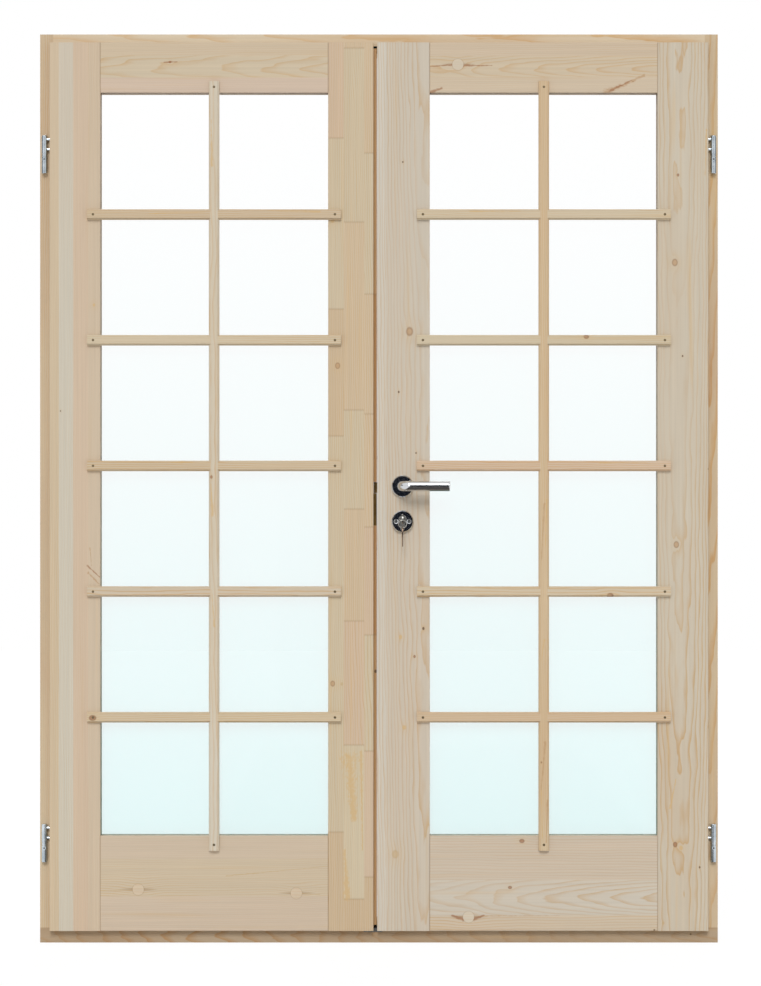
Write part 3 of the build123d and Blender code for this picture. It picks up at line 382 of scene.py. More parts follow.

# Stiles: each leaf has two, of pine, from top to bottom. The left hinge stile is glued up from four strips
# and the left meeting stile from three rows of finger-jointed blocks, with a closing strip at its edge, whose
# darker, warmer tone is painted shade from the narrow gap between the leaves.
# The right leaf's are wide boards with knots.
dress(pine("pine_left_hinge_stile", "Z", 5, (-1.05, 0.0), ring=0.0034, contrast=0.5, streak=0.15,
           tones=(srgb(207, 189, 161), srgb(206, 199, 183), srgb(208, 187, 163), srgb(206, 188, 164)),
           edges=[on_leaf(px, 0)[0] for px in (58.8, 73.2, 88.2)],
           knots=[(94, 305, 3.0, "resin"), (60.5, 411, 1.4, "dark")],
           spikes=[((87.6, 566), (99.6, 577), 2.6, "red"), ((88.4, 573), (99, 584), 3.0, "sound"),
                   ((90, 548), (91.6, 566), 1.4, "sound")]), "left_hinge_stile")
dress(pine("pine_right_hinge_stile", "Z", 6, (0.655, 0.02), ring=0.0042, taper=0.010, contrast=0.75,
           streak=0.4, tones=(srgb(202, 186, 163), srgb(204, 193, 174), srgb(201, 184, 161)),
           swirl=0.016,
           knots=[(674.8, 262.5, 6.2, "sound"), (676.3, 544.6, 5.4, "sound"), (675.2, 844.6, 4.6, "red"),
                  (678, 175, 2.6, "red"), (682.6, 356, 2.0, "dark"), (708.5, 469, 1.4, "dark"),
                  (699.7, 867.3, 2.0, "dark"), (681, 848, 4.4, "resin"), (663.3, 923, 2.4, "pale")],
           spikes=[((670, 808), (676, 779), 2.6, "resin"), ((706.5, 130), (705, 176), 3.0, "resin")]),
      "right_hinge_stile")
PINK_BLOCK, PALE_BLOCK = srgb(207, 185, 159), srgb(205, 190, 163)
WARM_BLOCK, TAN_BLOCK = srgb(206, 186, 157), srgb(203, 182, 152)
# The closing strip's tones are darker and warmer than the blocks': painted shade, warmed as by light bounced
# between the wooden sides of the gap.
GAP_SHADE_TAN, GAP_SHADE_OCHRE = srgb(212, 172, 124), srgb(204, 160, 110)
STRIP_STEP = 0.0001  # the closing strip's painted shade tone begins this far past the strike's edge
STRIP_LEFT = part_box("strike_plate")[0].x + STRIP_STEP
BLOCK_ROWS = [[(PINK_BLOCK, 138), (PALE_BLOCK, 309), (TAN_BLOCK, 436), (PALE_BLOCK, 832), (TAN_BLOCK, 945)],
              [(WARM_BLOCK, 48), (PALE_BLOCK, 222), (WARM_BLOCK, 410), (PALE_BLOCK, 509), (WARM_BLOCK, 621),
               (PINK_BLOCK, 745), (srgb(207, 193, 166), 899), (TAN_BLOCK, 945)],
              [(WARM_BLOCK, 153), (PALE_BLOCK, 294), (WARM_BLOCK, 414), (WARM_BLOCK, 527), (PINK_BLOCK, 635),
               (PALE_BLOCK, 751), (PINK_BLOCK, 877), (TAN_BLOCK, 945)],
              [(GAP_SHADE_TAN, 294), (GAP_SHADE_OCHRE, 635), (GAP_SHADE_TAN, 945)]]
dress(pine("pine_left_meeting_stile", "Z", 7, (0.12, 0.03), ring=0.0038, taper=0.02, contrast=0.65,
           streak=0.35, edges=[on_leaf(px, 0)[0] for px in (343.8, 364.3)] + [STRIP_LEFT], strips=BLOCK_ROWS,
           knots=[(337.6, 365.7, 5.0, "sound"), (332.7, 683.6, 5.0, "sound"), (341.8, 684, 3.0, "pale"),
                  (332.5, 220, 4.6, "resin"), (375.6, 671.8, 3.2, "dark")],
           spikes=[((349, 758), (354, 818), 17.0, "resin"), ((347, 897), (344.6, 850), 8.0, "resin"),
                   ((361, 752), (362.5, 850), 4.0, "resin")]), "left_meeting_stile")
dress(pine("pine_right_meeting_stile", "Z", 8, (0.15, 0.03), ring=0.0046, taper=0.014, contrast=0.75,
           streak=0.25, tones=(srgb(208, 200, 186), srgb(204, 193, 176)), edges=[on_leaf(386, 0)[0]],
           swirl=0.02,
           knots=[(409.6, 331.5, 8.5, "sound"), (398.7, 392, 2.2, "dark"), (402.8, 162, 1.8, "dark"),
                  (416, 453, 1.8, "dark"), (423.4, 628.5, 2.8, "dark"), (414.5, 656.5, 2.6, "red"),
                  (395.3, 854.2, 8.0, "pale"), (404.3, 727.5, 4.6, "resin"), (400.6, 637, 4.0, "resin")]),
      "right_meeting_stile")

# Rails: one at the top and one at the bottom of each leaf, dowelled between its stiles. Each is glued up
# from three strips of pine, of which the middle one shows the most figure. Two of the left bottom rail's
# knots and one in each right rail are plugged.
RAILS = {
    "left_top_rail": {
        "seed": 9, "joins": (77.5, 55.3), "pith": ((2.30, 1.912, 2.45), (0.05, -0.015, 0.05)),
        "taper": (0.010, 0.045, 0.012), "contrast": (0.35, 0.8, 0.4),
        "tones": (srgb(208, 188, 168), srgb(206, 190, 164), srgb(206, 188, 162)),
        "knots": [(170, 62, 2.2, "red")],
        "spikes": [((170, 62), (164, 62.3), 2.0, "red"), ((170, 62), (177, 61.8), 2.0, "red")]},
    "right_top_rail": {
        "seed": 10, "joins": (77.0, 56.0), "pith": ((1.60, 1.912, 2.42), (0.05, -0.02, 0.05)),
        "taper": (0.012, 0.05, 0.012), "contrast": (0.4, 0.9, 0.4), "plugs": [(457.9, 64.5)],
        "tones": (srgb(207, 190, 166), srgb(206, 189, 163), srgb(205, 187, 163)),
        "knots": [(633, 81.5, 1.2, "dark")],
        "spikes": [((606, 92.5), (644, 75.5), 6.5, "sound"), ((429, 93), (442, 88), 6.0, "red"),
                   ((610, 91), (632, 80), 3.4, "red"),
                   ((463, 65.5), (492, 65.5), 2.6, "red"), ((452, 65), (428, 66.5), 2.6, "red")]},
    "left_bottom_rail": {
        "seed": 11, "joins": (896.3, 858.8), "pith": ((-0.35, -0.05, 0.60), (0.05, 0.03, 0.05)),
        "taper": (0.006, 0.020, 0.006), "contrast": (0.35, 0.8, 0.35),
        "plugs": [(138.2, 889.5), (296.3, 893.2)],
        "tones": (srgb(206, 189, 168), srgb(205, 189, 164), srgb(205, 188, 166)),
        "spikes": [((296, 893.5), (320, 894.5), 1.8, "pale"), ((140, 890), (100, 891), 1.6, "pale"),
                   ((226, 876), (330, 866), 1.6, "pale")]},
    "right_bottom_rail": {
        "seed": 12, "joins": (915.4, 879.9), "pith": ((-0.12, 0.1006, 0.42), (0.03, 0.0055, 0.03)),
        "taper": (0.010, 0.085, 0.016), "contrast": (0.8, 0.7, 0.7), "plugs": [(468.5, 917.0)],
        "ring": 0.0056,
        "tones": (srgb(206, 191, 169), srgb(205, 196, 181), srgb(204, 191, 173)),
        "knots": [(521.9, 841.0, 4.6, "red"), (510, 887.5, 3.4, "red"), (654.3, 930, 1.8, "dark")],
        "spikes": [((463, 919.5), (452, 915.5), 4.4, "red"), ((474, 919), (484, 915.5), 4.4, "red"),
                   ((484, 916), (560, 915.6), 1.2, "sound")]},
}
# Where each rail meets its stiles, a dark line is partly the joint and partly painted shade.
PANE_IN = 0.011
RAIL_ENDS = [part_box("right_outer_pane")[0].x + PANE_IN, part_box("right_outer_pane")[1].x - PANE_IN]
for rail, figure in RAILS.items():
    side = -1 if rail.startswith("left") else 1
    joins = [on_leaf(0, py)[1] for py in figure.pop("joins")]
    dress(pine("pine_" + rail, "X", streak=0.25, swirl=0.016, edges=joins,
               ends=[side * end for end in RAIL_ENDS], **figure), rail)
dress(pine("pine_dowel", "X", 14, (0.6, 0.05)), "left_dowels", "right_dowels")

# Plugs: round pale plugs of the same wood, glued into holes bored through loose knots and planed flush.
# Each is turned across the grain, and the old knot's brown tails still show beside it.
PLUG_PROUD = 0.00015


def each_once(items):
    """A list of the items in the order in which they first come."""
    return list(dict.fromkeys(items))


def turned(mesh, radius, depth, centre, axis, ease, segments=32):
    """Adds a short turned disc to a mesh, with its outer rim eased: axis is the way it faces."""
    turn = Vector(axis).to_track_quat("Z", "Y").to_matrix().to_4x4()
    place = Matrix.Translation(Vector(centre)) @ turn @ Matrix.Translation((0, 0, -depth / 2))
    made = bmesh.ops.create_cone(mesh, cap_ends=True, segments=segments, radius1=radius, radius2=radius,
                                 depth=depth, matrix=place)
    top = [v for v in made["verts"] if (place.inverted() @ v.co).z > 0]
    rim = [e for e in each_once(e for v in top for e in v.link_edges) if all(v in top for v in e.verts)]
    bmesh.ops.bevel(mesh, geom=rim, offset=ease, segments=2, profile=0.5, affect="EDGES", material=-1)


def from_mesh(name, mesh, material):
    """Turns a finished mesh into an object with one finish."""
    data = bpy.data.meshes.new(name)
    mesh.to_mesh(data)
    mesh.free()
    data.materials.append(material)
    piece = bpy.data.objects.new(name, data)
    bpy.context.scene.collection.objects.link(piece)
    return piece


def make_piece(name, mesh, material, body):
    """Turns a finished mesh into a piece that rides on a body."""
    piece = from_mesh(name, mesh, material)
    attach(piece, body)


PLUG_TONES = {"left_leaf": (srgb(211, 193, 168), srgb(209, 190, 163)),
              "right_leaf": (srgb(212, 201, 182), srgb(208, 195, 174))}
for leaf, tones in PLUG_TONES.items():
    plug_finish = pine(leaf + "_plug_pine", "X", 15, (0.3, 0.4), ring=0.003, contrast=0.4, tones=tones)
    plugs = bmesh.new()
    for rail, figure in RAILS.items():
        for px, py in figure.get("plugs", ()) if rail.startswith(leaf.split("_")[0]) else ():
            across, up = on_leaf(px, py)
            face = (across, LEAF_FRONT - PLUG_PROUD, up)
            turned(plugs, PLUG_R, 4 * PLUG_PROUD, face, (0, -1, 0), PLUG_PROUD)
    make_piece(leaf + "_plugs", plugs, plug_finish, leaf)

# Beads: slim strips of pine that hold the glass from indoors, mitred at the corners.
# They are nailed with small steel brads, whose heads stay a hair proud of the wood.
BEAD_W, BRAD_R, BRAD_PITCH = 0.014, 0.0010, 0.23
BRAD_PROUD, BRAD_SIDES = 0.00015, 12
dress(pine("pine_bead", "Z", 13, (0.6, 0.05), contrast=0.5, corners=RAIL_ENDS), "left_glazing_beads",
      "right_glazing_beads")
brad_steel = Finish("brad_steel")
brad_steel.set(Base_Color=srgb(150, 146, 138), Metallic=1.0, Roughness=0.35)
for leaf in ("left", "right"):
    low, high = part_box(leaf + "_glazing_beads")
    left, right = low.x + BEAD_W / 2, high.x - BEAD_W / 2
    bottom, top = low.z + BEAD_W / 2, high.z - BEAD_W / 2
    sides = [((left, bottom), (left, top)), ((right, bottom), (right, top)),
             ((left, bottom), (right, bottom)), ((left, top), (right, top))]
    brads = bmesh.new()
    for start, end in ((Vector(a), Vector(b)) for a, b in sides):
        count = max(2, round((end - start).length / BRAD_PITCH))
        for number in range(count):
            across, up = start.lerp(end, (number + 0.5) / count)
            face = (across, high.y + BRAD_PROUD, up)
            turned(brads, BRAD_R, 4 * BRAD_PROUD, face, (0, 1, 0), BRAD_PROUD, BRAD_SIDES)
    make_piece(leaf + "_bead_brads", brads, brad_steel.material, leaf + "_leaf")

# Glass: sealed units of two float panes on a bronze-coloured spacer, bedded in the rebates behind beads.
# The glass is clear, with a pale cyan cast that grows towards the bottom.
GLASS_CAST = (0.2, 0.86, 0.86, 1.0)
CAST_AT_BOTTOM, CAST_CURVE = 0.080, 1.6
GLASS_IOR = 1.45
CLEAR_FACING = 0.036  # gloss that is left out where the glass is seen square-on
SPACER_DOTS = 240.0
glass = Finish("float_glass")
_, _, height = glass.axes()
low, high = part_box("left_outer_pane")[0].z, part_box("left_outer_pane")[1].z
drop = glass.clamp((high - height) / (high - low))
glass.set(Base_Color=GLASS_CAST, Roughness=0.02, Alpha=CAST_AT_BOTTOM * drop ** CAST_CURVE)
mirror_part = glass.node("BsdfGlossy", {}, {"Color": (1, 1, 1, 1), "Roughness": 0.0})
outer_face = 1.0 - glass.node("NewGeometry", {}, {}, out="Backfacing")
gloss_share = outer_face * glass.clamp(glass.node("Fresnel", {}, {"IOR": GLASS_IOR}) - CLEAR_FACING)
clear_part = Sock(glass.tree, glass.shader.outputs[0])
pane = glass.node("MixShader", {}, {0: gloss_share, 1: clear_part, 2: mirror_part})
glass.tree.links.new(pane.socket, glass.tree.nodes["Material Output"].inputs["Surface"])
dress(glass.material, "left_outer_pane", "left_inner_pane", "right_outer_pane", "right_inner_pane")
spacer = Finish("spacer_bronze")
across, _, up = spacer.axes()
dots = spacer.node("TexVoronoi", {}, {"Vector": spacer.vector(across, 0.0, up), "Scale": SPACER_DOTS})
spacer.set(Base_Color=spacer.mix(spacer.clamp(dots * 3.0), srgb(98, 74, 48), srgb(122, 94, 62)),
           Metallic=0.0, Roughness=0.5)
dress(spacer.material, "left_glass_spacer", "right_glass_spacer")

# Grille: an upright and five level bars of moulded pine, halved together and screwed on outside the glass.
# Small dark screws hold their ends.
BAR_TONES = {"left": (srgb(208, 192, 164), srgb(207, 193, 170), srgb(206, 188, 160), srgb(209, 195, 168),
                      srgb(204, 186, 158)),
             "right": (srgb(207, 184, 154), srgb(209, 194, 168), srgb(211, 188, 162), srgb(207, 193, 166),
                       srgb(208, 194, 168))}
UPRIGHT_TONES = {"left": (srgb(211, 201, 183), srgb(209, 196, 174), srgb(212, 204, 188)),
                 "right": (srgb(209, 194, 166), srgb(206, 180, 145), srgb(210, 190, 158))}
UPRIGHT_KNOTS = {"left": [(211.6, 477, 2.6, "red")], "right": [(541.2, 762, 1.6, "red")]}
UPRIGHT_SPIKES = {"left": [((213, 516), (211, 484), 3.0, "resin"), ((212, 166), (211.4, 120), 2.4, "resin"),
                           ((214.4, 626), (212, 590), 2.0, "resin")],
                  "right": [((544, 504), (541.4, 560), 2.4, "sound"),
                            ((546.4, 500), (545, 548), 2.0, "resin"), ((544, 640), (541, 660), 2.0, "resin"),
                            ((545, 742), (541, 790), 2.6, "sound"), ((547, 800), (546, 842), 2.0, "sound"),
                            ((541.4, 790), (542, 838), 1.8, "resin")]}
BAR_KNOTS = {"left": [(93, 717.6, 6.0, "red")], "right": [(586, 337, 4.4, "red"), (610, 595.5, 6.0, "red")]}
BAR_SPIKES = {"left": [((182, 462.4), (193, 462.2), 2.2, "resin"), ((182, 462.4), (171, 462.6), 2.2, "resin"),
                       ((320, 212), (268, 211), 2.0, "resin"), ((150, 214), (205, 212.6), 1.6, "resin")],
              "right": [((610, 595.5), (586, 594.6), 2.4, "pale"), ((470, 212), (520, 211.6), 1.8, "resin"),
                        ((586, 337), (560, 336.4), 1.8, "pale"), ((600, 463), (646, 462.4), 1.8, "resin")]}
low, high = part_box("left_grille_bars")
bar_pitch = (high.z - low.z) / (len(BAR_TONES["left"]) - 1)
bar_joins = [low.z + bar_pitch * (row + 0.5) for row in range(len(BAR_TONES["left"]) - 1)]
for number, leaf in enumerate(("left", "right")):
    dress(pine(leaf + "_upright_pine", "Z", 16 + number, (0.4 * number - 0.3, 0.03), ring=0.004, contrast=0.7,
               tones=UPRIGHT_TONES[leaf], lean=0.012, streak=0.25, knots=UPRIGHT_KNOTS[leaf],
               spikes=UPRIGHT_SPIKES[leaf]), leaf + "_grille_upright")
    dress(pine(leaf + "_bar_pine", "X", 18 + number, (0.9, 0.02), ring=0.004, contrast=0.9,
               tones=BAR_TONES[leaf], edges=bar_joins, lean=0.008, streak=0.35, knots=BAR_KNOTS[leaf],
               spikes=BAR_SPIKES[leaf]), leaf + "_grille_bars")


def plated(name, light, dark, roughness, scale, pits=0.08):
    """Plated steel: a metal with soft cloudy streaks in its tone and its gloss, and fine pits."""
    finish = Finish(name)
    x, y, z = finish.axes()
    cloud = finish.noise(x, y, z, scale, 3.0)
    fine = finish.noise(x, y, z, 9 * scale, 2.0)
    finish.set(Base_Color=finish.mix(finish.clamp(1.6 * cloud - 0.3), dark, light), Metallic=1.0,
               Roughness=roughness + 0.10 * fine)
    finish.bump(fine, pits, 0.0002)
    return finish.material


screw_bronze = plated("screw_bronze", srgb(140, 124, 98), srgb(92, 80, 60), 0.34, 300.0)
dress(screw_bronze, "left_grille_screws", "right_grille_screws")

# Lip: a slim strip of the closing strip's own wood, glued to its edge so that no light shows through the gap.
# It stops at the strike and at the latch's keep.
LIP_W, LIP_DEEP, LIP_EASE = 0.0017, 0.0030, 0.0004
END_ROOM = 0.011
KEEP_TALL = 0.025
strip_low, strip_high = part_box("left_meeting_stile")
strike_low, strike_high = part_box("strike_plate")
KEEP_LOW, KEEP_HIGH = strike_high.z, strike_high.z + KEEP_TALL
lip = bmesh.new()
for bottom, top in ((strip_low.z + END_ROOM, strike_low.z), (KEEP_HIGH, strip_high.z - END_ROOM)):
    place = Matrix.Translation((strip_high.x + LIP_W / 2, strike_low.y + LIP_DEEP / 2, (bottom + top) / 2))
    size = Matrix.Diagonal((LIP_W, LIP_DEEP, top - bottom, 1.0))
    made = bmesh.ops.create_cube(lip, size=1.0, matrix=place @ size)
    edges = each_once(e for v in made["verts"] for e in v.link_edges)
    long_edges = [e for e in edges if e.calc_length() > 10 * LIP_DEEP]
    bmesh.ops.bevel(lip, geom=long_edges, offset=LIP_EASE, segments=2, profile=0.5, affect="EDGES",
                    material=-1)
# The lip wears the meeting stile's finish, so it takes the closing strip's painted shade tone.
make_piece("closing_lip", lip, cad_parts["left_meeting_stile"].data.materials[0], "left_leaf")

# Seals: hollow strips of dark brown rubber in the frame's stop and on the left leaf's edge.
# Their skin is matt, with faint marks from the extruder.
rubber = Finish("seal_rubber")
x, y, z = rubber.axes()
marks = rubber.noise(400 * x, 400 * y, 6 * z, 1.0, 2.0)
rubber.set(Base_Color=rubber.mix(marks, srgb(128, 98, 68), srgb(152, 120, 86)), Roughness=0.7 + 0.15 * marks)
rubber.bump(marks, 0.2, 0.0002)
dress(rubber.material, "frame_seal", "left_meeting_seal")

# Hinges: lift-off hinges of zinc-plated steel. The lower barrel has a stud into the jamb and a set screw,
# the upper one has two studs into the leaf, and a grooved pin turns in both.
zinc = plated("hinge_zinc", srgb(222, 231, 237), srgb(158, 170, 180), 0.10, 60.0, 0.015)
dress(zinc, "frame_hinge_halves", "left_leaf_hinge_halves", "right_leaf_hinge_halves", "hinge_pins")
screw_steel = plated("screw_steel", srgb(120, 122, 122), srgb(70, 72, 72), 0.3, 300.0)
dress(screw_steel, "hinge_set_screws", "frame_corner_screws")

# Lock: a mortise case behind a steel forend, with a sprung latch and a dead bolt, and the strike that
# faces it on the left leaf, an angle of yellow-passivated steel let in flush.
olive = plated("passivated_steel", srgb(140, 112, 66), srgb(98, 76, 42), 0.35, 90.0)
dress(olive, "strike_plate", "latch_bolt")
dress(zinc, "lock_case", "dead_bolt", "handle_spindle")

# Keep: the latch's opening in the closing strip, just above the strike. It is lined on three sides with
# a thin bent strip of the same yellow-passivated steel.
LINER_T = 0.00035
LEAF_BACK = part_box("left_hinge_stile")[1].y
liner = bmesh.new()
walls = [((strike_low.x, KEEP_LOW), (strike_low.x + LINER_T, KEEP_HIGH)),
         ((strike_low.x, KEEP_LOW), (strip_high.x, KEEP_LOW + LINER_T)),
         ((strike_low.x, KEEP_HIGH - LINER_T), (strip_high.x, KEEP_HIGH))]
for (left, bottom), (right, top) in walls:
    place = Matrix.Translation(((left + right) / 2, (strike_low.y + LEAF_BACK) / 2, (bottom + top) / 2))
    size = Matrix.Diagonal((right - left, LEAF_BACK - strike_low.y, top - bottom, 1.0))
    bmesh.ops.create_cube(liner, size=1.0, matrix=place @ size)
make_piece("latch_keep_liner", liner, olive, "left_leaf")

# Screws: cross-headed steel screws hold the lock's forend and the strike, two in each.
# Their heads are sunk in the plates, all but a fifth of a millimetre.
SLOT_CELLS = 5
HEAD_T, HEAD_PROUD = 0.0006, 0.0002
FOREND_SCREW_R, FOREND_SCREW_IN = 0.0036, 0.011
STRIKE_SCREW_R, STRIKE_SCREW_IN, STRIKE_TOP_SCREW_IN = 0.0030, 0.009, 0.0054


def cross_head(mesh, radius, centre, axis):
    """Adds a screw's head with a cross recess, facing along axis, to a mesh."""
    turn = Vector(axis).to_track_quat("Z", "Y").to_matrix().to_4x4()
    place = Matrix.Translation(Vector(centre)) @ turn
    grid = bmesh.ops.create_grid(mesh, x_segments=SLOT_CELLS, y_segments=SLOT_CELLS, size=radius)["verts"]
    faces = each_once(face for vert in grid for face in vert.link_faces)
    rim = [edge for edge in each_once(edge for vert in grid for edge in vert.link_edges) if edge.is_boundary]
    for vert in each_once(vert for edge in rim for vert in edge.verts):
        vert.co = radius * vert.co.normalized()
    arm = 2 * radius / SLOT_CELLS

    def in_cross(face):
        middle = face.calc_center_median()
        reach = sorted((abs(middle.x), abs(middle.y)))
        return reach[0] < arm / 2 and reach[1] < 1.5 * arm

    slot = bmesh.ops.extrude_face_region(mesh, geom=[face for face in faces if in_cross(face)])["geom"]
    floor = [item for item in slot if isinstance(item, bmesh.types.BMVert)]
    bmesh.ops.translate(mesh, verts=floor, vec=(0, 0, -HEAD_T))
    bmesh.ops.delete(mesh, geom=[face for face in faces if face.is_valid and in_cross(face)
                                 and face.calc_center_median().z > -HEAD_T / 2], context="FACES_ONLY")
    skirt = bmesh.ops.extrude_edge_only(mesh, edges=rim)["geom"]
    foot = [item for item in skirt if isinstance(item, bmesh.types.BMVert)]
    bmesh.ops.translate(mesh, verts=foot, vec=(0, 0, -HEAD_T))
    bmesh.ops.transform(mesh, verts=each_once([*grid, *floor, *foot]), matrix=place)


def screw_heads(name, radius, places, axis, body, material):
    """Makes one piece of all the screw heads on a plate."""
    mesh = bmesh.new()
    for place in places:
        cross_head(mesh, radius, place, axis)
    bmesh.ops.recalc_face_normals(mesh, faces=mesh.faces)
    make_piece(name, mesh, material, body)


low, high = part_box("lock_case")
lock_y = (low.y + high.y) / 2
places = [(low.x - HEAD_PROUD, lock_y, z) for z in (low.z + FOREND_SCREW_IN, high.z - FOREND_SCREW_IN)]
screw_heads("forend_screws", FOREND_SCREW_R, places, (-1, 0, 0), "right_leaf", screw_steel)
places = [(strike_high.x + HEAD_PROUD, lock_y, z) for z in
          (strike_low.z + STRIKE_SCREW_IN, strike_high.z - STRIKE_TOP_SCREW_IN)]
screw_heads("strike_screws", STRIKE_SCREW_R, places, (1, 0, 0), "left_leaf", screw_bronze)

# Handles: lever handles of polished chrome on round roses, one each side, and below them round escutcheons
# with two sunk screws about the nickel key cylinder. A key, its ring and a worn brass spare hang there.
FACE_SHARE = 0.9
chrome = plated("polished_chrome", srgb(218, 220, 222), srgb(200, 202, 205), 0.04, 40.0, 0.01)
dress(chrome, "outside_lever", "inside_lever", "outside_rose", "inside_rose", "outside_escutcheon",
      "inside_escutcheon")
dress(screw_steel, "escutcheon_screws")
cylinder_nickel = plated("cylinder_nickel", srgb(196, 194, 188), srgb(150, 148, 142), 0.2, 120.0)
dress(cylinder_nickel, "lock_cylinder", "cylinder_plug", "key", "key_ring")
dress(plated("worn_key_brass", srgb(152, 130, 112), srgb(106, 88, 74), 0.35, 120.0), "spare_key")
low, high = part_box("escutcheon_screws")
head_r = (high.z - low.z) / 2
SCREW_HOLES = [(x, low.y - HEAD_PROUD, (low.z + high.z) / 2) for x in (low.x + head_r, high.x - head_r)]
screw_heads("escutcheon_screw_faces", FACE_SHARE * head_r, SCREW_HOLES, (0, -1, 0), "right_leaf", screw_steel)

# Cups: round each of the escutcheon's screws sits a ring, pressed from sheet metal and chromed.
# It slopes down from a low crest to the screw's head, which holds it.
CUP_RISE, CUP_EDGE_RISE = 0.0007, 0.00056
CUP_OUT, CUP_CREST = 1.45, 1.4
CUP_STEPS = 32
profile = [(CUP_OUT * head_r, 0.0), (CUP_OUT * head_r, -CUP_EDGE_RISE), (CUP_CREST * head_r, -CUP_RISE),
           (head_r, 0.0)]
cups = bmesh.new()
for centre in SCREW_HOLES:
    points = [cups.verts.new(Vector(centre) + Vector((0, rise, out))) for out, rise in profile]
    line = [cups.edges.new(pair) for pair in zip(points, points[1:] + points[:1])]
    bmesh.ops.spin(cups, geom=points + line, cent=centre, axis=(0, 1, 0), angle=math.tau, steps=CUP_STEPS,
                   use_merge=True)
bmesh.ops.remove_doubles(cups, verts=cups.verts, dist=0.00001)
bmesh.ops.recalc_face_normals(cups, faces=cups.faces)
make_piece("escutcheon_cups", cups, chrome, "right_leaf")

# Flush bolts: a square rod behind a steel plate at each end of the left leaf's edge, worked by a thumb slide,
# and a plate with a hole for it in the head and in the sill.
dress(zinc, "top_bolt_plate", "bottom_bolt_plate", "top_bolt", "bottom_bolt")
keep_steel = plated("keep_steel", srgb(186, 186, 184), srgb(128, 128, 126), 0.3, 120.0)
dress(keep_steel, "head_keep", "sill_keep")
PLATE_SCREW_R, PLATE_SCREW_IN = 0.0028, 0.010
for plate in ("top_bolt_plate", "bottom_bolt_plate"):
    low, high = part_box(plate)
    places = [(high.x + HEAD_PROUD, lock_y, z) for z in (low.z + PLATE_SCREW_IN, high.z - PLATE_SCREW_IN)]
    screw_heads(plate + "_screws", PLATE_SCREW_R, places, (1, 0, 0), "left_leaf", screw_steel)
KEEP_SCREW_R, KEEP_SCREW_IN = 0.0032, 0.007
for keep, way in (("head_keep", -1), ("sill_keep", 1)):
    low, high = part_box(keep)
    face = low.z if way < 0 else high.z
    places = [(x, lock_y, face + way * HEAD_PROUD) for x in (low.x + KEEP_SCREW_IN, high.x - KEEP_SCREW_IN)]
    screw_heads(keep + "_screws", KEEP_SCREW_R, places, (0, 0, way), "frame", screw_steel)

# Stage: a white floor and a white surround, a broad soft lamp high in front and a weaker one indoors. Dark
# cards that only gloss can see stand before the doors, at both sides and on the floor, for metal to mirror.
PURE_WHITE = (1.0, 1.0, 1.0, 1.0)
FLOOR_GREY = (0.86, 0.86, 0.86, 1.0)
FLOOR_HALF = 12.0
FLOOR_GLOW, GLOW_SHARE = 1.06, 0.85
AMBIENT = 0.50
SUN_STRENGTH, ROOM_STRENGTH = 1.44, 0.5
SUN_WIDTH, SUN_RISE, SUN_ASIDE = 24.0, 36.0, -4
floor_mesh = bmesh.new()
bmesh.ops.create_grid(floor_mesh, x_segments=1, y_segments=1, size=FLOOR_HALF)


def stage_piece(name, mesh, material):
    """Turns a finished mesh into a piece of the stage, which isn't part of the doors."""
    piece = from_mesh(name, mesh, material)
    return piece


def seen_white(tree, ray):
    """One where the eye, gloss or glass looks, and zero for the light that falls on the object."""
    eye, gloss, glass = (Sock(tree, ray.outputs["Is %s Ray" % kind])
                         for kind in ("Camera", "Glossy", "Transmission"))
    return eye.math("MAXIMUM", eye, gloss.math("MAXIMUM", gloss, glass))


floor = Finish("white_floor")
floor.set(Base_Color=FLOOR_GREY, Roughness=0.9, Specular_IOR_Level=0.0)
light_path = floor.tree.nodes.new("ShaderNodeLightPath")
glow = floor.node("Emission", {}, {"Color": PURE_WHITE, "Strength": FLOOR_GLOW})
body_shader = Sock(floor.tree, floor.shader.outputs[0])
seen = GLOW_SHARE * seen_white(floor.tree, light_path)
both = floor.node("MixShader", {}, {0: seen, 1: body_shader, 2: glow})
floor.tree.links.new(both.socket, floor.tree.nodes["Material Output"].inputs["Surface"])
stage_piece("floor", floor_mesh, floor.material)

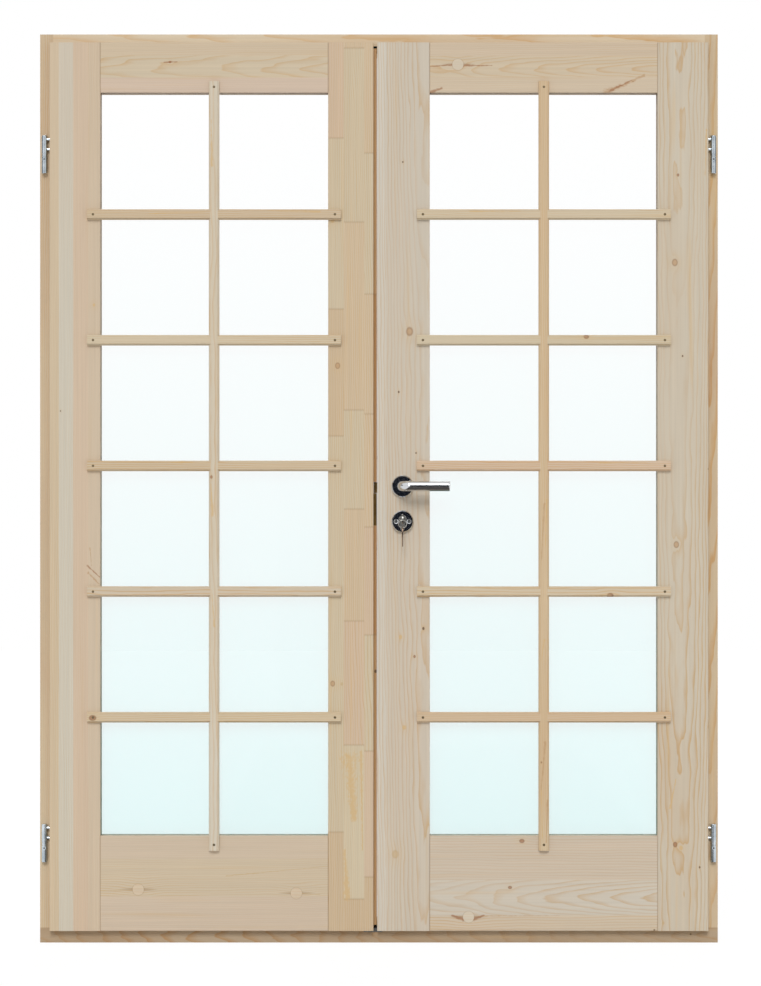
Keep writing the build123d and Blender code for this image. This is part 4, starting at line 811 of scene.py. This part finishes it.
world = bpy.data.worlds.new("surround")
bpy.context.scene.world = world
world.use_nodes = True
sky = world.node_tree
soft = sky.nodes["Background"]
soft.inputs["Strength"].default_value = AMBIENT
soft.inputs["Color"].default_value = PURE_WHITE
white = sky.nodes.new("ShaderNodeBackground")
white.inputs["Color"].default_value = PURE_WHITE
ray = sky.nodes.new("ShaderNodeLightPath")
blend = sky.nodes.new("ShaderNodeMixShader")
sky.links.new(seen_white(sky, ray).socket, blend.inputs[0])
sky.links.new(soft.outputs[0], blend.inputs[1])
sky.links.new(white.outputs[0], blend.inputs[2])
sky.links.new(blend.outputs[0], sky.nodes["World Output"].inputs["Surface"])

LAMPS = (("key_lamp", SUN_STRENGTH, 90 - SUN_RISE), ("room_lamp", ROOM_STRENGTH, SUN_RISE - 90))
for name, strength, tilt in LAMPS:
    lamp = bpy.data.objects.new(name, bpy.data.lights.new(name, "SUN"))
    lamp.data.energy = strength
    lamp.data.angle = math.radians(SUN_WIDTH)
    lamp.rotation_euler = (math.radians(tilt), 0, math.radians(SUN_ASIDE))
    bpy.context.scene.collection.objects.link(lamp)


def gloss_card(name, middle, half, facing, colour):
    """A plain card that only gloss can see."""
    mesh = bmesh.new()
    place = Matrix.Translation(middle) @ Vector(facing).to_track_quat("Z", "Y").to_matrix().to_4x4()
    bmesh.ops.create_grid(mesh, x_segments=1, y_segments=1, size=1.0,
                          matrix=place @ Matrix.Diagonal((*half, 1.0, 1.0)))
    finish = Finish(name)
    finish.set(Base_Color=(0, 0, 0, 1), Roughness=1.0, Specular_IOR_Level=0.0, Emission_Color=colour,
               Emission_Strength=1.0)
    card = stage_piece(name, mesh, finish.material)
    card.visible_camera = card.visible_diffuse = card.visible_shadow = card.visible_transmission = False


DARK_BLUE, SLATE, WARM_GREY = (0.012, 0.014, 0.02, 1.0), (0.03, 0.034, 0.04, 1.0), (0.10, 0.092, 0.086, 1.0)
gloss_card("dark_card", (0.15, -5.2, 2.18), (0.55, 2.12), (0, 1, 0), DARK_BLUE)
for side, x in (("left", -4.0), ("right", 4.0)):
    gloss_card(side + "_card", (x, -0.3, 2.1), (1.2, 0.5), (-x, 0, 0), SLATE)
gloss_card("floor_card", (0.15, -1.2, 0.02), (0.6, 3.7), (0, 0, 1), WARM_GREY)
bpy.context.scene.view_settings.view_transform = "Standard"
